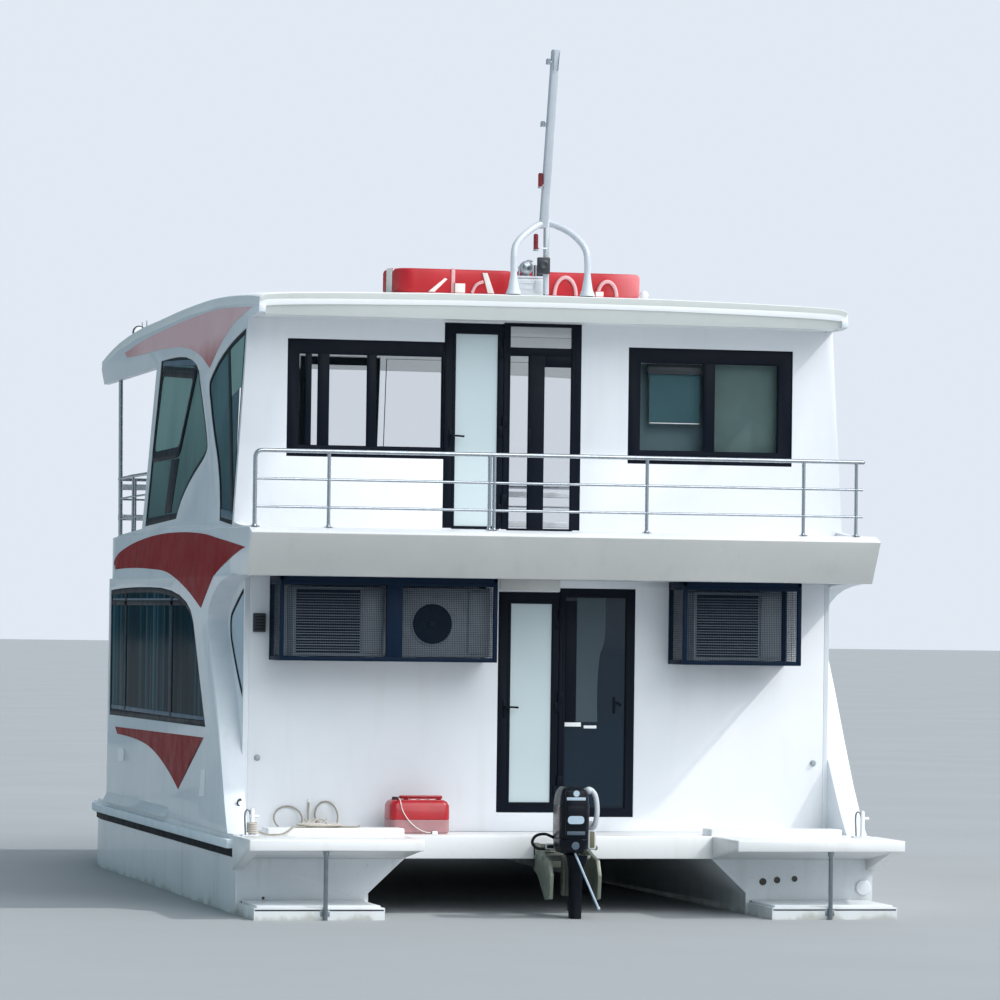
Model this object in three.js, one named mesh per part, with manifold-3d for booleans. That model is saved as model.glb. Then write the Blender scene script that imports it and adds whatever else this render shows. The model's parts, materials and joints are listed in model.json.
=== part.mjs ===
// A two-deck, twin-hull houseboat with an outboard motor, in millimetres.
// +Y is forward, +X is starboard, +Z is up. The origin is on the waterline and the centreline,
// below the outer face of the stern walls.
import * as THREE from "three";
import { mergeVertices } from "three/addons/utils/BufferGeometryUtils.js";
import Module from "manifold-3d";

const wasm = await Module();
wasm.setup();

// Driving dimensions
const GAP = 0.3; // between pieces that touch
const CLEARANCE = 5; // round pieces that move
const BEAM_HALF = 2925; // hulls and lower side shells
const WALL_HALF = 2735; // lower stern wall, out to the recess in the shells
const TRANSOM_Y = -800;
const PLATFORM_Y = -1650; // aft edge of the swim platforms
const SIDE_END_Y = 6750; // forward end of the lower side shells
const BOW_ARC = { y: 7100, r: 3400 }; // where the lower deck's sides start to round in
const BOW_CORNER_Y = 8900;
const BOW_Y = 10150;
const BOW_INSET = 850;
const HULL_TOP = 495;
const DECK_TOP = 700; // lower deck and swim platforms
const UPPER_DECK_BOTTOM = 2987;
const UPPER_DECK_TOP = 3415;
const UPPER_DECK_HALF = 2880;
const UPPER_ARC = { y: 6500, r: 5460 };
const BALCONY_Y = 7950; // front edge of the upper deck
const CABIN_TOP = 5310; // foot of the roof's aft fascia
const ROOF_SHEET = 60;
const ROOF_AFT_Y = -500;
const UPPER_WALL_HALF = 2845; // at LEAN_FROM, less further up
const LEAN_FROM = 3465;
const LEAN = 0.0593; // how far the upper sides come in for each millimetre up
const WALL = 50; // thickness of the cabin walls
const SHELL_WALL = 45; // inner skin of the lower sides
const FRAME = 60; // face width of a window frame
const GLASS = 8;
const WINDOW_GAP = 0.5; // round a window unit
const OUTBOARD_Y = -1150; // tilt axis of the outboard
const OUTBOARD_Z = 520;

// Colours
const FINISH = {
  gelcoat: [0xe9edf0, 0.35, 0],
  grey: [0x8fa1a8, 0.4, 0],
  black: [0x0c1520, 0.35, 0.2],
  steel: [0xc9ced2, 0.25, 1],
  red: [0xb01c2c, 0.45, 0],
  cage: [0x0b1d33, 0.5, 0.3],
  motor: [0x0a1018, 0.3, 0.1],
  bracket: [0x8b9088, 0.5, 0.4],
};

const group = new THREE.Group();

function add(name, finish, geometry, parent = group) {
  const [color, roughness, metalness] = FINISH[finish];
  const material = new THREE.MeshStandardMaterial({ color, roughness, metalness });
  const mesh = new THREE.Mesh(geometry, material);
  mesh.name = name;
  parent.add(mesh);
  return mesh;
}

// Solids: joins and cuts
function toSolid(geometry) {
  const bare = geometry.clone();
  bare.deleteAttribute("normal");
  bare.deleteAttribute("uv");
  const merged = mergeVertices(bare, 1e-3);
  return new wasm.Manifold(
    new wasm.Mesh({
      numProp: 3,
      vertProperties: merged.attributes.position.array,
      triVerts: new Uint32Array(merged.index.array),
    }),
  );
}

function toGeometry(solid) {
  const mesh = solid.getMesh();
  const geometry = new THREE.BufferGeometry();
  geometry.setAttribute("position", new THREE.BufferAttribute(mesh.vertProperties, 3));
  geometry.setIndex(new THREE.BufferAttribute(mesh.triVerts, 1));
  return geometry;
}

function join(...pieces) {
  return toGeometry(pieces.map(toSolid).reduce((a, b) => a.add(b)));
}

function cut(body, ...tools) {
  return toGeometry(tools.map(toSolid).reduce((a, b) => a.subtract(b), toSolid(body)));
}

// Simple shapes
function box(x0, x1, y0, y1, z0, z1) {
  const geometry = new THREE.BoxGeometry(x1 - x0, y1 - y0, z1 - z0);
  return geometry.translate((x0 + x1) / 2, (y0 + y1) / 2, (z0 + z1) / 2);
}

// An outline is a list of [u, v] points. A point of four numbers, [cu, cv, u, v], is reached
// by a curve that bends towards (cu, cv).
function outline(points, bends = 6) {
  const shape = new THREE.Shape();
  shape.moveTo(...points[0].slice(-2));
  for (const p of points.slice(1)) {
    if (p.length === 4) shape.quadraticCurveTo(...p);
    else shape.lineTo(...p);
  }
  return shape.getPoints(bends);
}

const ALONG = {
  x: new THREE.Matrix4().makeBasis(
    new THREE.Vector3(0, 1, 0),
    new THREE.Vector3(0, 0, 1),
    new THREE.Vector3(1, 0, 0),
  ),
  y: new THREE.Matrix4().makeBasis(
    new THREE.Vector3(1, 0, 0),
    new THREE.Vector3(0, 0, 1),
    new THREE.Vector3(0, -1, 0),
  ),
  z: new THREE.Matrix4(),
};

// A plate with the outline in the plane across the axis: (y, z), (x, z) or (x, y).
function plate(axis, points, from, to, holes = []) {
  const edge = outline(points);
  if (THREE.ShapeUtils.isClockWise(edge)) edge.reverse(); // holes are only turned the right way then
  const shape = new THREE.Shape(edge);
  for (const hole of holes) shape.holes.push(new THREE.Path(outline(hole)));
  const depth = to - from;
  const geometry = new THREE.ExtrudeGeometry(shape, { depth, bevelEnabled: false });
  geometry.applyMatrix4(ALONG[axis]);
  if (axis === "y") return geometry.translate(0, to, 0);
  return axis === "x" ? geometry.translate(from, 0, 0) : geometry.translate(0, 0, from);
}

function rect(u0, u1, v0, v1) {
  return [
    [u0, v0],
    [u1, v0],
    [u1, v1],
    [u0, v1],
  ];
}

// The points drawn in towards their middle, so that a piece fits its opening.
function shrink(points, by) {
  const flat = outline(points);
  const us = flat.map((p) => p.x);
  const vs = flat.map((p) => p.y);
  const [u0, u1, v0, v1] = [Math.min(...us), Math.max(...us), Math.min(...vs), Math.max(...vs)];
  const [mu, mv] = [(u0 + u1) / 2, (v0 + v1) / 2];
  const [ku, kv] = [1 - (2 * by) / (u1 - u0), 1 - (2 * by) / (v1 - v0)];
  return flat.map((p) => [mu + (p.x - mu) * ku, mv + (p.y - mv) * kv]);
}

function rod(from, to, radius, sides = 8) {
  const a = new THREE.Vector3(...from);
  const b = new THREE.Vector3(...to);
  const along = b.clone().sub(a);
  const geometry = new THREE.CylinderGeometry(radius, radius, along.length(), sides);
  const turn = new THREE.Quaternion().setFromUnitVectors(
    new THREE.Vector3(0, 1, 0),
    along.normalize(),
  );
  return geometry.applyQuaternion(turn).translate(...a.add(b).multiplyScalar(0.5));
}

function ball(at, radius, sides = 8) {
  return new THREE.SphereGeometry(radius, sides, sides / 2).translate(...at);
}

// A tube with round joints through the points.
function tube(points, radius, sides = 8) {
  const pieces = [];
  for (let i = 1; i < points.length; i++) pieces.push(rod(points[i - 1], points[i], radius, sides));
  for (const p of points.slice(1, -1)) pieces.push(ball(p, radius * 1.04, 6));
  return pieces;
}

// x moves by k millimetres for each millimetre above z0.
function lean(geometry, k, z0) {
  const m = new THREE.Matrix4().set(1, 0, k, -k * z0, 0, 1, 0, 0, 0, 0, 1, 0, 0, 0, 0, 1);
  return geometry.applyMatrix4(m);
}

// A loft through closed sections of equally many points, each running the same way round.
function loft(sections) {
  const n = sections[0].length;
  const flat = sections.flat();
  const index = [];
  for (let s = 0; s + 1 < sections.length; s++) {
    for (let i = 0; i < n; i++) {
      const a = s * n + i;
      const b = s * n + ((i + 1) % n);
      index.push(a, b + n, b, a, a + n, b + n);
    }
  }
  const last = (sections.length - 1) * n;
  for (let i = 1; i + 1 < n; i++) {
    index.push(0, i, i + 1);
    index.push(last, last + i + 1, last + i);
  }
  const geometry = new THREE.BufferGeometry();
  geometry.setAttribute("position", new THREE.Float32BufferAttribute(flat.flat(), 3));
  geometry.setIndex(index);
  return geometry;
}

// Twin pieces: built to port, and mirrored to starboard.
function addPair(name, finish, geometry, parent = group) {
  add(`${name}_port`, finish, geometry, parent);
  add(`${name}_starboard`, finish, geometry.clone(), parent).scale.x = -1;
}

// Half the width of a deck whose sides round in towards the bow on an arc.
function halfWidth(y, half, arc = BOW_ARC) {
  if (y <= arc.y) return half;
  return half - arc.r + Math.sqrt(arc.r ** 2 - (y - arc.y) ** 2);
}

// A deck's plan: straight sides, sides that round in on an arc, and round front corners, which
// start at cornerY and end the inset away from the side.
function deckPlan(half, arc, aftY, cornerY, frontY, inset) {
  const cornerHalf = halfWidth(cornerY, half, arc);
  const side = [];
  for (const part of [0, 0.25, 0.5, 0.75, 1]) {
    const y = arc.y + part * (cornerY - arc.y);
    side.push([halfWidth(y, half, arc), y]);
  }
  const port = side.map(([x, y]) => [-x, y]).reverse();
  const bendAt = cornerHalf - inset * 0.2;
  return [
    [half, aftY],
    ...side,
    [bendAt, frontY, cornerHalf - inset, frontY],
    [inset - cornerHalf, frontY],
    [-bendAt, frontY, ...port[0]],
    ...port.slice(1),
    [-half, aftY],
  ];
}

// Hulls
// Each row: y, outer half-breadth, inner half-breadth, keel
const HULL_ROWS = [
  [TRANSOM_Y, BEAM_HALF, 1735, -450],
  [BOW_ARC.y, BEAM_HALF, 1735, -450],
  [7700, halfWidth(7700, BEAM_HALF), 1750, -440],
  [8300, halfWidth(8300, BEAM_HALF), 1780, -400],
  [8900, halfWidth(8900, BEAM_HALF) - 10, 1810, -330],
  [9500, 2180, 1835, -190],
  [10050, 1895, 1850, 200],
];
const INNER_KNUCKLE = 190; // where the inner side starts to flare out to the bridge deck

function hullSection([y, outer, inner, keel]) {
  const w = outer - inner;
  const side = keel + 0.11 * w;
  return [
    [-outer, y, HULL_TOP - GAP],
    [-outer, y, side],
    [-outer + 0.1 * w, y, keel + 0.03 * w],
    [-outer + 0.3 * w, y, keel],
    [-inner - 0.3 * w, y, keel],
    [-inner - 0.1 * w, y, keel + 0.03 * w],
    [-inner, y, side],
    [-inner, y, INNER_KNUCKLE + (side > INNER_KNUCKLE ? side : 0)],
    [-inner + 0.27 * w, y, HULL_TOP - GAP],
  ];
}

const STEP_TOP = 105;
function waterStep() {
  const side = [
    [TRANSOM_Y + 5, STEP_TOP],
    [PLATFORM_Y + 50, STEP_TOP],
    [PLATFORM_Y + 50, -60],
    [TRANSOM_Y + 5, -330],
  ];
  return plate("x", side, -2905, -1750);
}

addPair("hull", "gelcoat", join(loft(HULL_ROWS.map(hullSection)), waterStep()));

// Lower deck
const DECK_PLAN = deckPlan(BEAM_HALF, BOW_ARC, TRANSOM_Y, BOW_CORNER_Y, BOW_Y, BOW_INSET);
const HATCH = { x0: 1410, x1: 2640, y0: -785, y1: -485, high: 60 };
const GLAND = { x0: -1100, x1: -1050, y: -505, half: 16, high: 26 }; // the fuel line's end

function lowerDeck() {
  const slab = plate("z", DECK_PLAN, HULL_TOP, DECK_TOP);
  const hatches = [-1, 1].map((side) => {
    const [a, b] = [side * HATCH.x0, side * HATCH.x1].sort((p, q) => p - q);
    return box(a, b, HATCH.y0, HATCH.y1, DECK_TOP - 10, DECK_TOP + HATCH.high);
  });
  const gland = box(
    GLAND.x0,
    GLAND.x1,
    GLAND.y - GLAND.half,
    GLAND.y + GLAND.half,
    DECK_TOP - 10,
    DECK_TOP + GLAND.high,
  );
  return join(slab, ...hatches, gland);
}
add("bridge_deck", "gelcoat", lowerDeck());

// Swim platforms: wedge-shaped underneath, with a gusset outboard and a strut past the step's edge
const PLATFORM = { inner: 1415, outer: 2960, aftUnder: 600, rootUnder: 495 };
const GUSSET = { thick: 95, rootUnder: 392 };
const STRUT = { x: 2280, r: 20, foot: -50 };

function platform() {
  const { inner, outer, aftUnder } = PLATFORM;
  const side = (rootUnder) => [
    [TRANSOM_Y - GAP, rootUnder],
    [TRANSOM_Y - GAP, DECK_TOP],
    [PLATFORM_Y, DECK_TOP],
    [PLATFORM_Y, aftUnder],
    [PLATFORM_Y + 60, aftUnder],
  ];
  const strutY = PLATFORM_Y + 50 - STRUT.r - GAP; // just aft of the step
  return join(
    plate("x", side(PLATFORM.rootUnder), -outer, -inner),
    plate("x", side(GUSSET.rootUnder), -outer, GUSSET.thick - outer),
    rod([-STRUT.x, strutY, STRUT.foot], [-STRUT.x, strutY, aftUnder + 20], STRUT.r, 12),
  );
}
addPair("swim_platform", "gelcoat", platform());

// Rub rail: a grey moulding right round the deck's edge from one quarter to the other
const RUB = { low: 500, mid: 575, top: 655, lip: 14, out: 65, aftY: -680 };

function rubRail() {
  const plan = (out, aftY) =>
    deckPlan(BEAM_HALF + out, BOW_ARC, aftY, BOW_CORNER_Y + out, BOW_Y + out, BOW_INSET);
  const solid = join(
    plate("z", plan(RUB.out, RUB.aftY), RUB.mid, RUB.top),
    plate("z", plan(RUB.lip, RUB.aftY), RUB.low, RUB.mid + 5),
  );
  const inside = plan(GAP, -2000);
  return cut(solid, plate("z", inside, RUB.low - 50, RUB.top + 50));
}
add("rub_rail", "grey", rubRail());

// Lower sides: a thick outer shell with an arched aft edge over a thin inner skin
const SHELL_ARCH = [
  [SIDE_END_Y, DECK_TOP + GAP],
  [SIDE_END_Y, UPPER_DECK_BOTTOM - GAP],
  [-420, UPPER_DECK_BOTTOM - GAP],
  [560, 2960, 830, 2640],
  [850, 2610, 845, 2570],
  [380, 1990, 80, 1500],
  [-300, 890, -525, DECK_TOP + GAP],
];
const LOWER_WINDOW = [
  [6690, 1590],
  [840, 1607],
  [1280, 2130, 1620, 2570],
  [1900, 2893, 4200, 2893],
  [5600, 2902, 6690, 2870],
];
const QUARTER_WINDOW = [
  [52, 2872],
  [52, 1880],
  [400, 2110, 690, 2400],
  [790, 2560, 690, 2650],
  [440, 2760, 100, 2872],
];
const LEDGE = { fromY: 2900, rise: 95, out: 48 };

// The foot of the shell's aft edge spreads outwards.
const FLARE = { below: 1450, aftOf: -20, out: 30 };
function flare(geometry) {
  const points = geometry.attributes.position;
  for (let i = 0; i < points.count; i++) {
    if (points.getY(i) > FLARE.aftOf || points.getZ(i) > FLARE.below) continue;
    const share = (FLARE.below - points.getZ(i)) / (FLARE.below - DECK_TOP);
    points.setX(i, points.getX(i) - FLARE.out * share);
  }
  return geometry;
}

function sideShell() {
  const outer = plate("x", SHELL_ARCH, -BEAM_HALF, -WALL_HALF);
  const skinOutline = rect(0, SIDE_END_Y, DECK_TOP + GAP, UPPER_DECK_BOTTOM - GAP);
  const skin = plate("x", skinOutline, -WALL_HALF, -WALL_HALF + SHELL_WALL);
  const ledgeSection = [
    [-BEAM_HALF + 5, DECK_TOP + GAP],
    [-BEAM_HALF + 5, DECK_TOP + LEDGE.rise],
    [-BEAM_HALF, DECK_TOP + LEDGE.rise],
    [-BEAM_HALF - LEDGE.out, DECK_TOP + GAP],
  ];
  const ledge = plate("y", ledgeSection, LEDGE.fromY, SIDE_END_Y);
  const flared = flare(join(outer, skin, ledge));
  const windowHole = plate("x", LOWER_WINDOW, -BEAM_HALF - 100, -WALL_HALF + 100);
  const quarterHole = plate("x", QUARTER_WINDOW, -WALL_HALF - 100, -WALL_HALF + 100);
  return cut(flared, windowHole, quarterHole);
}
addPair("side_shell", "gelcoat", sideShell());

// Windows: a frame with its bars and a sheet of glass in it, as one unit.
// Each bar is the outline of a box in the window's plane.
function windowUnit(axis, hole, from, depth, frame, bars = []) {
  const edge = shrink(hole, WINDOW_GAP);
  const rim = plate(axis, edge, from, from + depth, [shrink(hole, frame)]);
  const middle = from + depth / 2;
  const glass = plate(axis, shrink(hole, frame / 2), middle - GLASS / 2, middle + GLASS / 2);
  const solid = join(rim, glass);
  if (!bars.length) return solid;
  const inner = toSolid(plate(axis, shrink(hole, frame / 2), from, from + depth));
  const trimmed = bars.map((bar) => toSolid(plate(axis, bar, from, from + depth)).intersect(inner));
  return toGeometry(trimmed.reduce((a, b) => a.add(b), toSolid(solid)));
}

const LOWER_BARS = [
  rect(800, 6700, 2720, 2765),
  rect(2770, 2850, 1500, 3000),
  rect(5650, 5730, 1500, 3000),
];
const lowerWindow = windowUnit("x", LOWER_WINDOW, -BEAM_HALF + 12, 60, FRAME, LOWER_BARS);
addPair("side_window_lower", "black", lowerWindow);
addPair("quarter_window", "black", windowUnit("x", QUARTER_WINDOW, -WALL_HALF + 4, 36, 50));

// Lower stern wall, with one opening for the hinged leaf and one for the fixed light
const DOOR_LEAF = { x0: -390, x1: 170, z0: 878, z1: 2872, thick: 40 };
const DOOR_LIGHT = { x0: 176, x1: 886, z0: 836, z1: 2914 };

// The opening for a fixed light, a little larger than the light.
function roomFor({ x0, x1, z0, z1 }) {
  return box(x0 - GAP, x1 + GAP, -WALL, 2 * WALL, z0 - GAP, z1 + GAP);
}

// The opening for a hinged leaf, up to the light that it hinges on.
function roomForLeaf({ x0, z0, z1 }, lightX) {
  return box(x0 - CLEARANCE, lightX, -WALL, 2 * WALL, z0 - CLEARANCE, z1 + CLEARANCE);
}

function lowerSternWall() {
  const half = WALL_HALF - SHELL_WALL - GAP;
  const wall = box(-half, half, 0, WALL, DECK_TOP + GAP, UPPER_DECK_BOTTOM - GAP);
  return cut(wall, roomForLeaf(DOOR_LEAF, DOOR_LIGHT.x0), roomFor(DOOR_LIGHT));
}
add("stern_wall_lower", "gelcoat", lowerSternWall());

// Hinged doors. The leaf hinges on the fixed light beside it, on knuckles just proud of the wall.
const KNUCKLE = { r: 9, length: 90, y: -10, reach: 40 };

// Three hinges up a door: the lower knuckle of each belongs to the leaf, the upper one to its frame.
function knuckles(x, z0, z1, onLeaf) {
  const pieces = [];
  for (const part of [0.12, 0.5, 0.88]) {
    const middle = z0 + part * (z1 - z0);
    const low = onLeaf ? middle - KNUCKLE.length : middle + GAP;
    const high = onLeaf ? middle : middle + KNUCKLE.length;
    const reach = onLeaf ? [x - KNUCKLE.reach, x] : [x, x + KNUCKLE.reach];
    pieces.push(rod([x, KNUCKLE.y, low], [x, KNUCKLE.y, high], KNUCKLE.r, 12));
    pieces.push(box(...reach, KNUCKLE.y - 2, 3, low, high));
  }
  return pieces;
}

// A glazed leaf or light with stiles, rails, glass and, on a leaf, a lever handle.
function glazedLeaf(d, stile, thick, bars = []) {
  const hole = rect(d.x0, d.x1, d.z0, d.z1);
  const pane = rect(d.x0 + stile, d.x1 - stile, d.z0 + stile, d.z1 - stile);
  const rim = plate("y", hole, 0, thick, [pane]);
  const glassAt = thick / 2;
  const inset = stile / 2;
  const glass = box(d.x0 + inset, d.x1 - inset, glassAt - 4, glassAt + 4, d.z0 + inset, d.z1 - inset);
  const pieces = bars.map(([x0, x1, z0, z1]) => box(x0, x1, 0, thick, z0, z1));
  return [rim, glass, ...pieces];
}

function lever(x, z, hand) {
  const out = -55;
  return [
    rod([x, 2, z], [x, out, z], 10, 8),
    rod([x, out, z], [x + hand * 115, out, z], 9, 8),
    ball([x, out, z], 11, 8),
    box(x - 18, x + 18, -6, 4, z - 90, z + 90),
  ];
}

const LOWER_HINGE_X = (DOOR_LEAF.x1 + DOOR_LIGHT.x0) / 2;
add(
  "stern_door_lower",
  "black",
  join(
    ...glazedLeaf(DOOR_LEAF, 95, DOOR_LEAF.thick),
    ...lever(DOOR_LEAF.x0 + 60, 1830, 1),
    ...knuckles(LOWER_HINGE_X, DOOR_LEAF.z0, DOOR_LEAF.z1, true),
  ),
);
add(
  "stern_light_lower",
  "black",
  join(
    ...glazedLeaf(DOOR_LIGHT, 70, WALL),
    ...knuckles(LOWER_HINGE_X, DOOR_LEAF.z0, DOOR_LEAF.z1, false),
  ),
);

// Lower front wall with a glazed screen and a hinged door in the middle
const FRONT = { y: SIDE_END_Y + GAP, half: BEAM_HALF, sill: 1590, head: 2860, side: 2640 };
const FRONT_DOOR = { x0: -420, x1: 420, z0: 760, z1: 2800 };
const FRONT_HINGE_X = FRONT_DOOR.x1 + CLEARANCE / 2;

function frontWallLower() {
  const wall = box(-FRONT.half, FRONT.half, 0, WALL, DECK_TOP + GAP, UPPER_DECK_BOTTOM - GAP);
  const panes = box(-FRONT.side, FRONT.side, -50, 100, FRONT.sill, FRONT.head);
  const door = box(FRONT_DOOR.x0 - 65, FRONT_DOOR.x1 + 65, -50, 100, FRONT_DOOR.z0 - 5, FRONT.head);
  return cut(wall, panes, door).translate(0, FRONT.y, 0);
}

function frontScreenLower() {
  const d = FRONT_DOOR;
  const t = 40;
  const frame = [
    box(-FRONT.side + GAP, FRONT.side - GAP, 0, t, FRONT.head - 55, FRONT.head - GAP),
    box(-FRONT.side + GAP, d.x0 - 5, 0, t, FRONT.sill + GAP, FRONT.sill + 60),
    box(d.x1 + 5, FRONT.side - GAP, 0, t, FRONT.sill + GAP, FRONT.sill + 60),
    box(-FRONT.side + GAP, d.x0 - 5, 16, 24, FRONT.sill + 30, FRONT.head - 30),
    box(d.x1 + 5, FRONT.side - GAP, 16, 24, FRONT.sill + 30, FRONT.head - 30),
  ];
  for (const side of [-1, 1]) {
    const jamb = [side * (d.x1 + 5), side * (d.x1 + 65 - GAP)].sort((p, q) => p - q);
    frame.push(box(...jamb, 0, t, d.z0 - 5 + GAP, FRONT.head - GAP));
    for (const x of [1550, FRONT.side - 30 - GAP]) {
      frame.push(box(side * x - 30, side * x + 30, 0, t, FRONT.sill + GAP, FRONT.head - GAP));
    }
  }
  const turned = knuckles(FRONT_HINGE_X, d.z0, d.z1, false);
  return join(...frame, ...turned).rotateZ(Math.PI).translate(0, FRONT.y + WALL, 0);
}

function frontDoorLower() {
  return join(
    ...glazedLeaf(FRONT_DOOR, 90, 40),
    ...lever(FRONT_DOOR.x0 + 60, 1830, 1),
    ...knuckles(FRONT_HINGE_X, FRONT_DOOR.z0, FRONT_DOOR.z1, true),
  )
    .rotateZ(Math.PI)
    .translate(0, FRONT.y + WALL, 0);
}

add("front_wall_lower", "gelcoat", frontWallLower());
add("front_screen_lower", "black", frontScreenLower());
add("front_door_lower", "black", frontDoorLower());

// Upper deck: a deep slab with a sloping aft face and a rounded front
const COAMING = { in: 2790, out: 2850 };
function upperDeck() {
  const plan = deckPlan(UPPER_DECK_HALF, UPPER_ARC, -1100, BALCONY_Y - 150, BALCONY_Y, 150);
  const coaming = [
    [-880, UPPER_DECK_TOP - 10],
    [-880, UPPER_DECK_TOP],
    [-320, 3436],
    [-GAP, 3467],
    [-GAP, UPPER_DECK_TOP - 10],
  ];
  const slab = join(
    plate("z", plan, UPPER_DECK_BOTTOM, UPPER_DECK_TOP),
    plate("x", coaming, -COAMING.out, -COAMING.in),
    plate("x", coaming, COAMING.in, COAMING.out),
  );
  const keep = [
    [9000, 2900],
    [9000, UPPER_DECK_TOP + 50],
    [-950, UPPER_DECK_TOP + 50],
    [-950, UPPER_DECK_TOP],
    [-1100, 3361],
    [-850, UPPER_DECK_BOTTOM],
    [-850, 2900],
  ];
  const profile = toSolid(plate("x", keep, -3500, 3500));
  return toGeometry(toSolid(slab).intersect(profile));
}
add("upper_deck", "gelcoat", upperDeck());

// Roof line: rows of y and the height of the roof's top
const ROOF_ROWS = [
  [ROOF_AFT_Y, 5450],
  [60, 5492],
  [1660, 5561],
  [3300, 5570],
  [5100, 5543],
  [6370, 5520],
  [7660, 5452],
  [8320, 5384],
  [8800, 5318],
];

function alongRows(rows, y) {
  const i = Math.max(1, rows.findIndex((r) => r[0] >= y));
  const [[y0, z0], [y1, z1]] = [rows[i - 1], rows[i]];
  return z0 + ((z1 - z0) * (y - y0)) / (y1 - y0);
}

// The roof is crowned: rows of distance from the centreline and height above the roof's edge.
const CROWN_ROWS = [
  [0, 90],
  [1000, 86],
  [1900, 70],
  [2690, 38],
  [2740, 0],
];
const roofEdge = (y) => alongRows(ROOF_ROWS, y);
const roofTop = (y, x = 0) => roofEdge(y) + alongRows(CROWN_ROWS, Math.abs(x));
const leanHalf = (z) => UPPER_WALL_HALF - LEAN * (z - LEAN_FROM);

// Upper stern wall, with a window to each side and the door's two openings
const STERN_WINDOWS = {
  port: { x0: -2375, x1: -931, z0: 4067, z1: 5128 },
  starboard: { x0: 795, x1: 2357, z0: 4062, z1: 5125 },
};
const UPPER_LEAF = { x0: -926, x1: -382, z0: 3446, z1: 5306, thick: 40 };
const UPPER_LIGHT = { x0: -376, x1: 350, z0: 3441, z1: 5350 };

function upperSternWall() {
  const z0 = UPPER_DECK_TOP + GAP;
  const z1 = roofEdge(0) - ROOF_SHEET - GAP;
  const face = [
    [-leanHalf(z0), z0],
    [leanHalf(z0), z0],
    [leanHalf(CABIN_TOP - GAP), CABIN_TOP - GAP],
    [leanHalf(CABIN_TOP) - 70, CABIN_TOP - GAP],
    [leanHalf(CABIN_TOP) - 70, z1],
    [-leanHalf(CABIN_TOP) + 70, z1],
    [-leanHalf(CABIN_TOP) + 70, CABIN_TOP - GAP],
    [-leanHalf(CABIN_TOP - GAP), CABIN_TOP - GAP],
  ];
  const { port, starboard } = STERN_WINDOWS;
  return cut(
    plate("y", face, 0, WALL),
    box(port.x0, port.x1, -WALL, 2 * WALL, port.z0, port.z1),
    box(starboard.x0, starboard.x1, -WALL, 2 * WALL, starboard.z0, starboard.z1),
    roomForLeaf(UPPER_LEAF, UPPER_LIGHT.x0),
    roomFor(UPPER_LIGHT),
  );
}
add("stern_wall_upper", "gelcoat", upperSternWall());

const PORT_BARS = [rect(-2077, -1997, 4000, 5200), rect(-1636, -1574, 4000, 5200)];
const STARBOARD_BARS = [rect(1528, 1603, 4000, 5200)];

function sternWindow({ x0, x1, z0, z1 }, bars) {
  return windowUnit("y", rect(x0, x1, z0, z1), 4, 42, 100, bars);
}
add("stern_window_port", "black", sternWindow(STERN_WINDOWS.port, PORT_BARS));
add("stern_window_starboard", "black", sternWindow(STERN_WINDOWS.starboard, STARBOARD_BARS));

const UPPER_HINGE_X = (UPPER_LEAF.x1 + UPPER_LIGHT.x0) / 2;
const LIGHT_BARS = [
  [-376, 350, 5098, 5165],
  [-144, 7, 3441, 5165],
];
add(
  "stern_door_upper",
  "black",
  join(
    ...glazedLeaf(UPPER_LEAF, 90, UPPER_LEAF.thick),
    ...lever(UPPER_LEAF.x0 + 60, 4280, 1),
    ...knuckles(UPPER_HINGE_X, UPPER_LEAF.z0, UPPER_LEAF.z1, true),
  ),
);
add(
  "stern_light_upper",
  "black",
  join(
    ...glazedLeaf(UPPER_LIGHT, 62, WALL, LIGHT_BARS),
    ...knuckles(UPPER_HINGE_X, UPPER_LEAF.z0, UPPER_LEAF.z1, false),
  ),
);

// Upper sides: one leaning panel each, with the roof's side band and two windows
const UPPER_AFT_WINDOW = [
  [75, 5215],
  [80, 3440],
  [770, 3490],
  [850, 3850, 1220, 4148],
  [1540, 4390, 1750, 4631],
  [1880, 4730, 1850, 4810],
  [1360, 5080, 75, 5215],
];
const UPPER_FWD_WINDOW = [
  [5050, 3500],
  [3190, 3545],
  [2960, 3800, 2040, 4032],
  [1660, 4130, 1690, 4200],
  [1760, 4330, 2390, 4846],
  [2520, 5135, 4260, 5138],
  [4780, 5140],
];
const SIDE_PANEL_THICK = 60;
// The underside of the roof's side band, forward of the cabin: y and height
const PANEL_UNDER = [
  [5040, 5085],
  [6800, 5083],
  [8520, 5068],
];

function sidePanel() {
  const roofLine = ROOF_ROWS.map(([y, z]) => [y, z - ROOF_SHEET - GAP]).reverse();
  const edge = [
    [WALL + GAP, UPPER_DECK_TOP + GAP],
    [6900, UPPER_DECK_TOP + GAP],
    [6650, 3436],
    [5232, 3480],
    ...PANEL_UNDER,
    [8780, roofLine[0][1] - 30],
    ...roofLine,
    [ROOF_AFT_Y, CABIN_TOP + 20],
    [-330, CABIN_TOP],
    [WALL + GAP, CABIN_TOP],
  ];
  const holes = [UPPER_AFT_WINDOW, UPPER_FWD_WINDOW];
  const panel = plate("x", edge, -UPPER_WALL_HALF, -UPPER_WALL_HALF + SIDE_PANEL_THICK, holes);
  return lean(panel, LEAN, LEAN_FROM);
}
addPair("side_panel_upper", "gelcoat", sidePanel());

function sideWindow(hole, bars) {
  const unit = windowUnit("x", hole, -UPPER_WALL_HALF + 6, 46, 70, bars);
  return lean(unit, LEAN, LEAN_FROM);
}
addPair("side_window_aft", "black", sideWindow(UPPER_AFT_WINDOW, []));
const FWD_BARS = [rect(1600, 5100, 4130, 4190), rect(3300, 3370, 3400, 4160)];
addPair("side_window_forward", "black", sideWindow(UPPER_FWD_WINDOW, FWD_BARS));

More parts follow.
